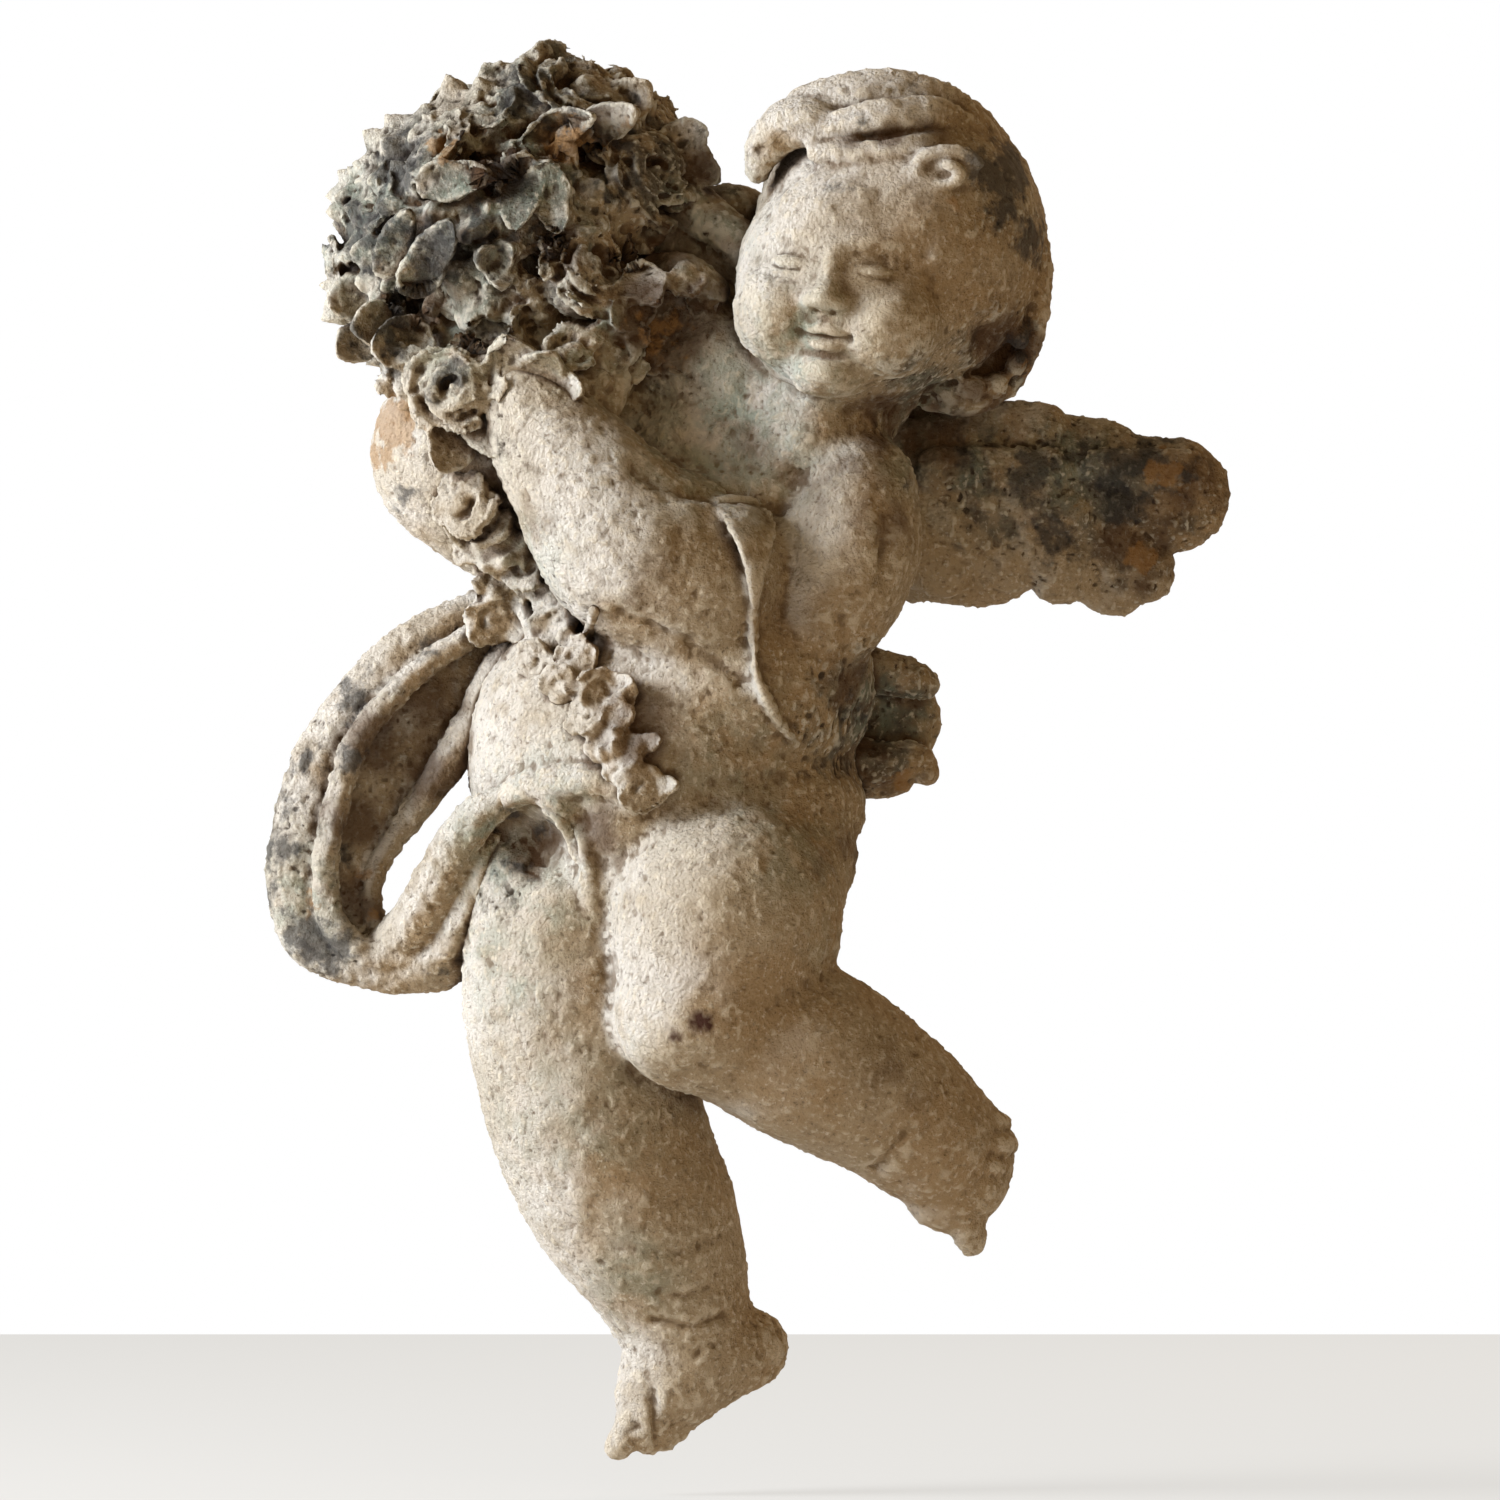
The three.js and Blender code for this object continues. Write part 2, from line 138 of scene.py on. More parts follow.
def limb(stations, flat=1.0, rows=40, ring=28, twist=0.0, lobes=0, lobe_depth=0.0):
    """A round section carried along a smooth curve. Each station is [x, z, depth, radius]; flat is the
    section's thickness off the wall as a share of its breadth. The ends are half spheres: past each end
    the section shrinks as the square root of 1 - t^2. lobes and lobe_depth flute the section by a cosine,
    and twist turns the flutes along the length, in turns."""
    body = spline(stations, rows)
    path, radius = place(body[:, :3]), body[:, 3]
    ahead = unit(np.gradient(path, axis=0))
    cap = np.sin(np.linspace(0, np.pi / 2, 7)[1:])
    start = path[0] - ahead[0] * radius[0] * cap[::-1, None]
    end = path[-1] + ahead[-1] * radius[-1] * cap[:, None]
    shrink = np.sqrt(np.maximum(1 - cap**2, 1e-4))
    path = np.vstack([start, path, end])
    radius = np.concatenate([radius[0] * shrink[::-1], radius, radius[-1] * shrink])
    ahead = np.vstack([np.repeat(ahead[:1], 6, 0), ahead, np.repeat(ahead[-1:], 6, 0)])
    out = np.array([0.0, -1.0, 0.0])
    off = unit(out - ahead * (ahead @ out)[:, None])
    across = np.cross(ahead, off)
    angle = np.linspace(0, 2 * np.pi, ring, endpoint=False)[None, :]
    turn = np.linspace(0, 2 * np.pi * twist, len(path))[:, None]
    r = radius[:, None] * (1 + lobe_depth * np.cos(lobes * angle + turn))
    return (
        path[:, None]
        + across[:, None] * (r * np.cos(angle))[..., None]
        + off[:, None] * (r * np.sin(angle) * flat)[..., None]
    )


def band(outer, inner, depth, thick, ridges, rows=90, columns=28):
    """A strip of cloth between two edge curves: the point at share u across is the mix of the edges, its
    front stands out by ridges of squared sine, and its back is flat. depth is [at the outer edge, at the
    inner edge] as lists along the strip, and ridges is [how many, how high]."""
    out_edge, in_edge = spline(outer, rows), spline(inner, rows)
    u = np.linspace(0, 1, columns)[None, :, None]
    mid = out_edge[:, None] * (1 - u) + in_edge[:, None] * u
    d = spline(depth, rows)
    level = d[:, None, 0] * (1 - u[..., 0]) + d[:, None, 1] * u[..., 0]
    count, rise = ridges
    wave = np.abs(np.sin(np.pi * (count * u[..., 0]))) ** 0.8 * rise
    edge = np.sqrt(np.clip(1 - (2 * u[..., 0] - 1) ** 8, 0, 1))
    front = level + (thick / 2 + wave) * edge
    back = level - thick / 2 * edge
    face = np.concatenate([mid, front[..., None]], -1)
    rear = np.concatenate([mid + 0 * front[..., None], back[..., None]], -1)[:, ::-1]
    return place(np.concatenate([face, rear], 1))


def frame_of(direction, spin):
    """Three unit vectors: two across a facing direction, turned round it by spin, and the direction."""
    axis = unit(place(direction))
    side = unit(np.cross(axis, [0.31, 0.22, 0.93]))
    up = np.cross(axis, side)
    c, s = math.cos(spin), math.sin(spin)
    return side * c + up * s, up * c - side * s, axis


def petal(centre, basis, reach, height, angle, spread, curl, thick, seed=0.0, rows=9, columns=13):
    """A cupped petal. Up the petal (v from 0 to 1) its distance from the rose's axis grows as a quarter
    sine to reach, and its height as 1.25 v - 0.3 v^4; past the shoulder it curls outwards as v^5. Across
    it (u from -1 to 1) it turns round the axis by spread and moves out by a sixth of its reach, so that
    petals overlap as a spiral. Its tip is rounded by 1 - u^3 and made uneven by a sum of sines. It is a
    shell, half the given thickness to each side along its own normal."""
    v = np.linspace(0, 1, rows)[:, None]
    u = np.linspace(-1, 1, columns)[None, :]
    uneven = 0.05 * np.sin(2.6 * u + seed) + 0.02 * np.sin(6.1 * u + 2 * seed)
    v = v * (0.93 - 0.3 * np.abs(u) ** 3 + uneven)
    turn = angle + u * spread * (0.55 + 0.45 * np.sin(np.pi * 0.5 * v))

    far = reach * (0.22 + 0.78 * np.sin(np.pi / 2 * v)) * (1 + 0.16 * u) + curl * reach * v**5
    lift = height * (1.25 * v - 0.3 * v**4 - 0.45) - curl * height * 0.6 * v**6 + 0 * turn
    outward, upward = np.gradient(far, axis=0), np.gradient(lift, axis=0)
    length = np.hypot(outward, upward) + 1e-9

    def surface(offset):
        r, h = far + offset * upward / length, lift - offset * outward / length
        a, b, axis = basis
        return centre + a * (r * np.cos(turn))[..., None] + b * (r * np.sin(turn))[..., None] + axis * h[..., None]

    return np.concatenate([surface(thick / 2), surface(-thick / 2)[:, ::-1]], 1)


WALL = np.array([[1.0, 0, 0], [0, 0, 1.0], [0, -1.0, 0]])


def leaf(centre, turn, length, width, curl, tilt=0.0, thick=8.0, basis=WALL, rooted=False, cup=0.12, rows=16):
    """A leaf or a loose petal: a blunt oval of half width sin(pi s^0.8)^0.6 with an uneven edge, its tip
    bent out by curl times (s - 0.3)^2 and its rims raised by cup times |u|^2.5. turn is the way its tip
    points in the basis's plane, in degrees anticlockwise from its first axis, and tilt lifts the tip out
    of that plane. A rooted leaf starts at centre and the others have it in their middle."""
    s = np.linspace(0.02, 0.99, rows)[:, None]
    u = np.linspace(-1, 1, 11)[None, :]
    phase = 0.37 * centre[0] + 0.53 * centre[1] + turn
    uneven = 1 + 0.08 * np.sin(7 * s + phase) + 0.04 * np.sin(15 * s + 2.3 * phase + u)
    along = (s - (0 if rooted else 0.5)) * length + 0 * u
    across = u * width / 2 * np.sin(np.pi * s**0.8) ** 0.6 * uneven
    lift = curl * length * (s - 0.3) ** 2 * 2 + cup * width * np.abs(u) ** 2.5
    lift = lift + 0.1 * width * u * np.sin(3 * s + phase)
    half = thick / 2 * np.sqrt(np.clip(1 - 0.6 * u**4, 0.05, 1))
    a, t = math.radians(turn), math.radians(tilt)

    def surface(offset):
        d = lift + offset
        run = along * math.cos(t) - d * math.sin(t)
        rise = along * math.sin(t) + d * math.cos(t)
        x = run * math.cos(a) - across * math.sin(a)
        z = run * math.sin(a) + across * math.cos(a)
        return place(np.asarray(centre, float)) + np.stack([x, z, rise], -1) @ basis

    return np.concatenate([surface(half), surface(-half)[:, ::-1]], 1)


def rose(centre, direction, radius, seed, opened=1.0, rings=3):
    """A carved rose, worn blunt: rings of petals that overlap as a spiral, each ring higher, narrower and
    turned by half a petal, round a rolled middle, on a full cushion that keeps the gaps shallow."""
    chance = np.random.default_rng(seed)
    middle = place(np.asarray(centre, float))
    basis = frame_of(direction, chance.uniform(0, 6.3))
    a, b, axis = basis
    thick = max(3.4, 0.22 * radius)
    shells = []
    for ring, (petals, share) in enumerate([(5, 1.0), (4, 0.66), (3, 0.4)][:rings]):
        for n in range(petals):
            angle = 2 * np.pi * (n + 0.5 * ring) / petals + chance.uniform(-0.2, 0.2)
            reach = radius * share * chance.uniform(0.86, 1.04)
            height = radius * (0.72 + 0.2 * ring) * chance.uniform(0.85, 1.15)
            curl = (0.3 if ring == 0 else 0.12) * opened * chance.uniform(0.5, 1.3)
            shells.append(petal(middle, basis, reach, height, angle, 1.22 * np.pi / petals, curl, thick, angle))
    inner = {1: 0.45, 2: 0.34, 3: 0.2}[rings] * radius
    spin = chance.uniform(0, 6.3)
    shells.append(petal(middle, basis, inner, 0.85 * radius, spin, 2.3, 0.0, 0.9 * thick, spin))
    for wide, tall, along in ((0.6 * inner, 0.4 * radius, 0.1), (0.82 * radius, 0.5 * radius, -0.36)):
        lump = egg((0, 0, 0), (wide, tall, wide), rows=10, ring=14)
        shells.append(middle + lump @ np.stack([a, b, axis]) + axis * radius * along)
    return shells


# Meshes

def mesh_of(name, shells):
    """One mesh of closed shells: each grid's rings are joined row to row, and its two ends are drawn in
    to a point."""
    points, faces, start = [], [], 0
    for shell in shells:
        first, last = shell[:1].mean(1, keepdims=True), shell[-1:].mean(1, keepdims=True)
        ring = shell.shape[1]
        grid = np.concatenate([np.repeat(first, ring, 1), shell, np.repeat(last, ring, 1)])
        rows = len(grid)
        index = start + np.arange(rows * ring).reshape(rows, ring)
        ahead = np.roll(index, -1, 1)
        quads = np.stack([index[:-1], ahead[:-1], ahead[1:], index[1:]], -1).reshape(-1, 4)
        points.append(grid.reshape(-1, 3))
        faces.append(quads)
        start += rows * ring
    return raw_mesh(name, np.vstack(points) * MM, np.vstack(faces))


def raw_mesh(name, points, quads):
    """A Blender mesh straight from arrays of points and four-cornered faces."""
    mesh = bpy.data.meshes.new(name)
    mesh.vertices.add(len(points))
    mesh.vertices.foreach_set("co", points.astype(np.float32).ravel())
    mesh.loops.add(quads.size)
    mesh.loops.foreach_set("vertex_index", quads.astype(np.int32).ravel())
    mesh.polygons.add(len(quads))
    mesh.polygons.foreach_set("loop_start", np.arange(0, quads.size, 4, dtype=np.int32))
    mesh.update(calc_edges=True)
    return mesh


def modified(mesh, kind, **settings):
    """The mesh after one modifier."""
    holder = bpy.data.objects.new(mesh.name, mesh)
    bpy.context.scene.collection.objects.link(holder)
    modifier = holder.modifiers.new(kind, kind)
    for key, value in settings.items():
        setattr(modifier, key, value)
    deps = bpy.context.evaluated_depsgraph_get()
    made = bpy.data.meshes.new_from_object(holder.evaluated_get(deps))
    made.name = mesh.name
    bpy.data.objects.remove(holder)
    bpy.data.meshes.remove(mesh)
    return made


def fused(mesh, voxel):
    """One skin round all the shells, on a grid of the given spacing in millimetres, without crumbs."""
    return whole(modified(mesh, "REMESH", mode="VOXEL", voxel_size=voxel * MM, adaptivity=0.0))


def whole(mesh):
    """The mesh without crumbs. Each vertex takes the lowest number among its neighbours, over and over,
    until each part has one number, and the parts with too few vertices go."""
    edges, size = read_edges(mesh), len(mesh.vertices)
    label, before = np.arange(size), None
    while before is None or not np.array_equal(label, before):
        before = label.copy()
        np.minimum.at(label, edges[:, 0], before[edges[:, 1]])
        np.minimum.at(label, edges[:, 1], before[edges[:, 0]])
        for _ in range(4):
            label = label[label]
    keep = np.bincount(label, minlength=size)[label] >= CRUMB
    if keep.all():
        return mesh
    points, quads = read_points(mesh) * MM, corners_of(mesh)
    number = np.cumsum(keep) - 1
    name = mesh.name
    bpy.data.meshes.remove(mesh)
    return raw_mesh(name, points[keep], number[quads[keep[quads].all(1)]])


def corners_of(mesh):
    """Every four-cornered face's vertex numbers."""
    corners = np.empty(len(mesh.polygons) * 4, np.int32)
    mesh.loops.foreach_get("vertex_index", corners)
    return corners.reshape(-1, 4)


def thinned(mesh, most):
    """The mesh with its flattest edges collapsed until it has at most that many triangles."""
    count = sum(len(p.vertices) - 2 for p in mesh.polygons)
    if count <= most:
        return modified(mesh, "TRIANGULATE")
    return modified(mesh, "DECIMATE", decimate_type="COLLAPSE", ratio=most / count)


def read_points(mesh):
    """Every vertex as an array, in drawn millimetres."""
    co = np.empty(len(mesh.vertices) * 3, np.float32)
    mesh.vertices.foreach_get("co", co)
    return co.reshape(-1, 3).astype(float) / MM


def write_points(mesh, points):
    """Moves every vertex to its place in an array in drawn millimetres."""
    mesh.vertices.foreach_set("co", (points * MM).astype(np.float32).ravel())
    mesh.update()


def read_normals(mesh):
    """Every vertex's normal as an array."""
    n = np.empty(len(mesh.vertices) * 3, np.float32)
    mesh.vertex_normals.foreach_get("vector", n)
    return n.reshape(-1, 3).astype(float)


def read_edges(mesh):
    """Both vertex numbers of every edge."""
    e = np.empty(len(mesh.edges) * 2, np.int32)
    mesh.edges.foreach_get("vertices", e)
    return e.reshape(-1, 2)


def neighbour_mean(values, edges):
    """For each vertex, the mean of the values at the other ends of its edges."""
    a, b = edges[:, 0], edges[:, 1]
    size = len(values)
    ways = np.maximum(np.bincount(a, minlength=size) + np.bincount(b, minlength=size), 1)
    columns = [
        (np.bincount(a, values[b, k], size) + np.bincount(b, values[a, k], size)) / ways
        for k in range(values.shape[1])
    ]
    return np.stack(columns, -1)


def softened(points, edges, rounds, amount=0.6):
    """Each round moves every vertex part of the way to its neighbours' mean. A second, slightly larger
    move back follows each one, which keeps the volume."""
    for _ in range(rounds):
        points = points + amount * (neighbour_mean(points, edges) - points)
        points = points - amount * 0.9 * (neighbour_mean(points, edges) - points)
    return points


def melted(points, edges, rounds, amount=0.6):
    """As softened, without the move back, so that creases between masses fill."""
    for _ in range(rounds):
        points = points + amount * (neighbour_mean(points, edges) - points)
    return points


def behind_wall_cut(points):
    """The flat back: whatever would be behind the wall's plane is laid on it."""
    points[:, 1] = np.minimum(points[:, 1], 0.0)
    return points


# The child's body, from the largest masses to the smallest

def flesh():
    """Trunk, limbs, neck and the shoulders."""
    return [
        egg((28, 30, 46), (75, 78, 78)),
        egg((-10, -58, 48), (98, 90, 88)),
        egg((22, -22, 56), (76, 66, 80)),
        egg((-18, -120, 42), (90, 67, 76)),
        egg((34, -84, 52), (60, 42, 70)),
        egg((28, 92, 50), (66, 44, 52)),
        egg((50, 36, 62), (46, 64, 58)),
        egg((64, 96, 70), (34, 26, 42)),
        limb([[50, 90, 62, 42], [72, 122, 72, 40], [90, 150, 80, 42]]),
        # the hanging leg, with its rolls of fat at the knee and the ankle
        limb(
            [
                [-57, -125, 60, 52],
                [-54, -180, 66, 55],
                [-45, -228, 66, 54],
                [-32, -265, 62, 52],
                [-17, -295, 58, 48.5],
                [-5, -322, 54, 40],
                [4, -348, 52, 33],
            ],
            rows=60,
        ),
        limb([[33, -356, 46, 21.5], [6, -362, 54, 29], [-12, -382, 58, 24], [-18, -392, 62, 16]]),
        # the raised leg
        limb([[45, -107, 76, 44], [24, -137, 104, 59], [12, -182, 116, 45]], rows=50),
        egg((6, -186, 122), (40, 38, 40)),
        limb([[20, -190, 112, 39], [60, -205, 100, 45], [102, -230, 84, 40], [126, -249, 74, 35]], rows=50),
        egg((138, -262, 70), (30, 36, 22), lean=12),
        # arms
        limb([[86, 72, 88, 34], [82, 40, 92, 37], [66, 8, 90, 33], [60, -18, 82, 29]]),
        limb([[6, 30, 104, 48], [-26, 49, 112, 46], [-50, 80, 112, 37], [-68, 104, 108, 30], [-80, 122, 102, 23]]),
        limb([[-30, 35, 45, 48], [-70, 66, 46, 48], [-106, 94, 48, 50]]),
        limb([[38, 120, 60, 38], [0, 148, 56, 35], [-30, 168, 52, 27]]),
        # the wrist and the back of the hand that goes in under the roses
        limb([[-78, 114, 98, 23], [-58, 124, 96, 20], [-40, 132, 86, 17]]),
        egg((-28, 116, 58), (22, 18, 20)),
    ]


FACE = {"x": 88.0, "z": 177.0, "depth": 98.0, "radius": 61.0, "turn": 14.0, "tilt": 7.0}


def face_axes():
    """The face's own right, up and out in the row frame: turned to the figure's right, then tilted."""
    turn, tilt = math.radians(FACE["turn"]), math.radians(FACE["tilt"])
    right = np.array([math.cos(turn), -math.sin(turn), 0.0])
    out = np.array([-math.sin(turn), -math.cos(turn), 0.0])
    up = np.array([0.0, 0.0, 1.0])
    lean = np.array([[math.cos(tilt), 0, math.sin(tilt)], [0, 1, 0], [-math.sin(tilt), 0, math.cos(tilt)]])
    return lean @ right, lean @ up, lean @ out


def head():
    """Skull, face and cheeks as plain masses; the features are cut later."""
    centre = (FACE["x"], FACE["z"], FACE["depth"])
    right, up, out = face_axes()
    middle = place(centre)

    def on_face(u, v, w):
        p = middle + FACE["radius"] * (right * u + up * v + out * w)
        return (p[0], p[2], -p[1])

    cheeks = [egg(on_face(side * 0.42, -0.3, 0.52), (27, 28, 27)) for side in (-1, 1)]
    return [
        egg((110, 201, 76), (73, 77, 75)),
        egg(centre, (FACE["radius"], 62, 60)),
        *cheeks,
        egg(on_face(0, -0.7, 0.5), (22, 17, 20)),
        egg(on_face(0, 0.45, 0.45), (40, 30, 28)),
    ]


def carve_face(points, normals):
    """Cuts a calm sleeping child's face, softened by wear, into the plain head. In the face's own units,
    u across and v up as shares of its radius, each feature is a height of the form
    exp(-(u/a)^2 - (v/b)^2), set out by the usual proportions of an infant: eyes below the middle of the
    head, a short nose, full cheeks and a small mouth."""
    right, up, out = face_axes()
    rel = (points - place((FACE["x"], FACE["z"], FACE["depth"]))) / FACE["radius"]
    u, v, w = rel @ right, rel @ up, rel @ out
    on = smoothstep(0.15, 0.5, w) * smoothstep(1.2, 1.1, np.linalg.norm(rel, axis=1))
    on = on * smoothstep(-1.0, -0.85, v) * smoothstep(0.72, 0.6, v)

    def bump(cu, cv, a, b, height):
        return height * np.exp(-(((u - cu) / a) ** 2) - ((v - cv) / b) ** 2)

    h = np.zeros(len(points))
    for side in (-1, 1):
        du = u - side * 0.37
        h += bump(side * 0.36, 0.13, 0.24, 0.16, -4.2)
        h += bump(side * 0.37, 0.085, 0.15, 0.09, 4.8)
        h -= 1.5 * np.exp(-(((v - 0.03 - 1.2 * du**2) / 0.024) ** 2)) * np.exp(-((du / 0.15) ** 4))
        h -= 0.8 * np.exp(-(((v - 0.15 + 0.9 * du**2) / 0.028) ** 2)) * np.exp(-((du / 0.16) ** 4))
        h += 1.2 * np.exp(-(((v - 0.31 + 0.5 * du**2) / 0.07) ** 2)) * np.exp(-((du / 0.24) ** 4))
        h += bump(side * 0.125, -0.2, 0.065, 0.06, 4.0)
        h += bump(side * 0.07, -0.275, 0.034, 0.026, -2.6)
        h += bump(side * 0.215, -0.475, 0.045, 0.05, -1.8)
        h += bump(side * 0.46, -0.28, 0.22, 0.2, 2.2)
    h += bump(0, 0.07, 0.09, 0.17, 2.6)
    h += bump(0, -0.16, 0.115, 0.1, 8.8)
    h += bump(0, -0.345, 0.028, 0.05, -1.1)
    upper = -0.425 + 0.016 * np.cos(u / 0.045)
    h += 3.0 * np.exp(-(((v - upper) / 0.048) ** 2)) * np.exp(-((u / 0.17) ** 4))
    h += bump(0, -0.54, 0.13, 0.048, 3.8)
    gap = -0.482 + 0.3 * u**2
    h -= 2.7 * np.exp(-(((v - gap) / 0.02) ** 2)) * np.exp(-((u / 0.19) ** 4))
    h += bump(0, -0.635, 0.14, 0.036, -1.8)
    h += bump(0, -0.78, 0.18, 0.12, 3.4)
    return points + normals * (1.3 * h * on)[:, None]


def toes_and_fingers():
    """The small rounded ends: toes in a row on each foot, and the fingers that hold the flowers."""
    shells = []
    hanging = [(-24, -394, 66, 9.5), (-15, -400, 65, 7.2), (-7, -398, 63, 7), (0, -394, 61, 6.6), (7, -388, 58, 6)]
    for n, (x, z, d, r) in enumerate(hanging):
        back = (x + 8, z + 14, d + 3, r * 0.95)
        tip = (x - 7, z - 10, d - 2, r * 0.78) if n == 0 else (x - 1, z - 3, d - 1, r * 0.9)
        shells.append(limb([back, (x, z, d, r), tip], rows=12, ring=16))
    raised = [(158, -242, 80, 5.6), (162, -252.5, 81, 5.8), (158, -263, 82, 5.6), (151, -272, 82, 5.0)]
    for x, z, d, r in raised:
        shells.append(limb([(x - 12, z + 2, d + 2, r), (x - 4, z + 1, d + 4, r), (x, z, d, r)], rows=10, ring=16))
        shells.append(egg((x + 2, z, d - 10), (r, r, 12), rows=12, ring=16))
    shells.append(limb([(136, -280, 72, 12), (143, -292, 70, 10), (146, -301, 68, 8)], rows=14, ring=16))
    # knuckles of the hand that goes in under the roses
    for n in range(4):
        x, z = -62 + 10 * n, 116 + 1.5 * n
        shells.append(limb([(x - 3, z - 4, 114 - 4 * n, 7), (x + 2, z + 9, 114 - 5 * n, 7)], rows=12, ring=16))
    # the soft strands of cloth between the flowers and the cheek, and the knob under them
    shells.append(limb([(-18, 232, 46, 13), (4, 218, 52, 14), (24, 203, 60, 13), (38, 190, 62, 11)], rows=24, ring=20))
    shells.append(limb([(-24, 204, 44, 14), (2, 196, 50, 14), (32, 184, 56, 11)], rows=24, ring=20))
    shells.append(limb([(-12, 184, 74, 10), (4, 182, 82, 11), (18, 174, 78, 8)], rows=16, ring=18))
    return shells


def hair():
    """A close cap of hair with a rolled edge over the brow, a lock turned out at the left, a curl at the
    temple, and flat strands down the side that end in curls."""
    locks = [
        # the lock that turns out at the left
        ([[78, 252, 122, 11], [64, 257, 122, 12.5], [51, 254, 116, 12], [42, 244, 110, 10.5], [39, 234, 106, 7.5]], 1),
        ([[66, 243, 130, 3], [65, 250, 129, 3.4], [67, 260, 123, 3.4]], 1),
        # the cap's front, its overhanging lip, and the thin roll along the hairline
        ([[64, 262, 108, 13], [86, 268, 112, 14], [112, 268, 108, 15], [138, 256, 98, 15], [158, 236, 88, 13]], 1),
        ([[68, 252, 127, 7], [86, 256, 132, 8], [104, 259, 132, 9], [126, 260, 122, 9], [146, 252, 106, 8]], 0.9),
        ([[67, 241, 131, 4.4], [86, 241, 136.5, 5.6], [104, 242, 138, 6], [119, 245, 134, 5.6],
          [132, 248, 126, 4.4]], 0.8),
        ([[92, 270, 100, 10], [120, 270, 88, 12], [146, 256, 76, 12], [163, 234, 70, 11]], 1),
        # strands down the side
        ([[150, 250, 96, 8], [164, 232, 90, 8], [173, 206, 84, 8], [177, 178, 78, 8], [174, 152, 74, 8],
          [167, 134, 68, 8]], 1),
        ([[148, 232, 114, 5], [158, 216, 109, 6.5], [166, 195, 100, 6.5], [168, 172, 94, 6], [164, 158, 88, 6]], 1),
        ([[152, 210, 117, 3.4], [158, 194, 112, 4.6], [160, 176, 107, 4.6], [156, 162, 101, 4]], 1),
        ([[168, 214, 54, 15], [174, 180, 50, 13], [170, 150, 48, 12]], 1),
        ([[126, 126, 74, 11], [144, 125, 72, 12], [160, 130, 64, 11]], 1),
    ]
    shells = [limb(f, flat=flat, rows=40, ring=24, lobes=4, lobe_depth=0.06, twist=0.5) for f, flat in locks]
    # the temple curl, a coil seen from the front
    t = np.linspace(0, 1, 30)[:, None]
    angle = 0.4 + 7.2 * t
    coil = 17 * (1 - 0.72 * t)
    path = np.hstack([131 + coil * np.cos(angle) * 1.1, 231 + coil * np.sin(angle) * 0.7, 140 + 6 * t, 3.6 - 0.6 * t])
    shells.append(limb(path, rows=60, ring=14))
    shells.append(egg((131, 231, 136), (18, 12, 7)))
    # curls where the strands end, round a dark hollow
    curls = [(148, 166, 100, 7), (160, 164, 94, 7), (169, 152, 86, 7), (168, 138, 80, 7), (158, 128, 80, 8),
             (145, 126, 84, 8), (136, 136, 90, 7), (152, 146, 74, 12)]
    for n, (x, z, d, r) in enumerate(curls):
        shells.append(egg((x, z, d), (r, r * 0.8, r * 0.8), lean=37 * n, rows=12, ring=16))
    return shells


def wing():
    """Rounded feathers laid over one another, flat against the wall."""
    feathers = [
        [[104, 72, 12, 50], [150, 64, 13, 47]],
        [[156, 84, 13, 36], [206, 74, 13, 40]],
        [[200, 84, 19, 23], [249, 74, 16, 29]],
        [[210, 88, 34, 9], [254, 84, 28, 13]],
        [[206, 72, 30, 8], [250, 66, 24, 11]],
        [[196, 64, 26, 16], [232, 36, 18, 18]],
        [[190, 48, 16, 20], [220, 30, 13, 18]],
        [[168, 62, 30, 15], [192, 38, 24, 20]],
        [[134, 60, 32, 17], [166, 42, 26, 18]],
        [[112, 100, 22, 24], [182, 104, 22, 17]],
        [[130, 86, 38, 12], [184, 84, 33, 14]],
        [[150, 72, 36, 10], [196, 64, 33, 12]],
        [[104, 56, 34, 22], [132, 42, 28, 20]],
    ]
    return [limb(f, flat=0.55, rows=20, ring=28) for f in feathers]


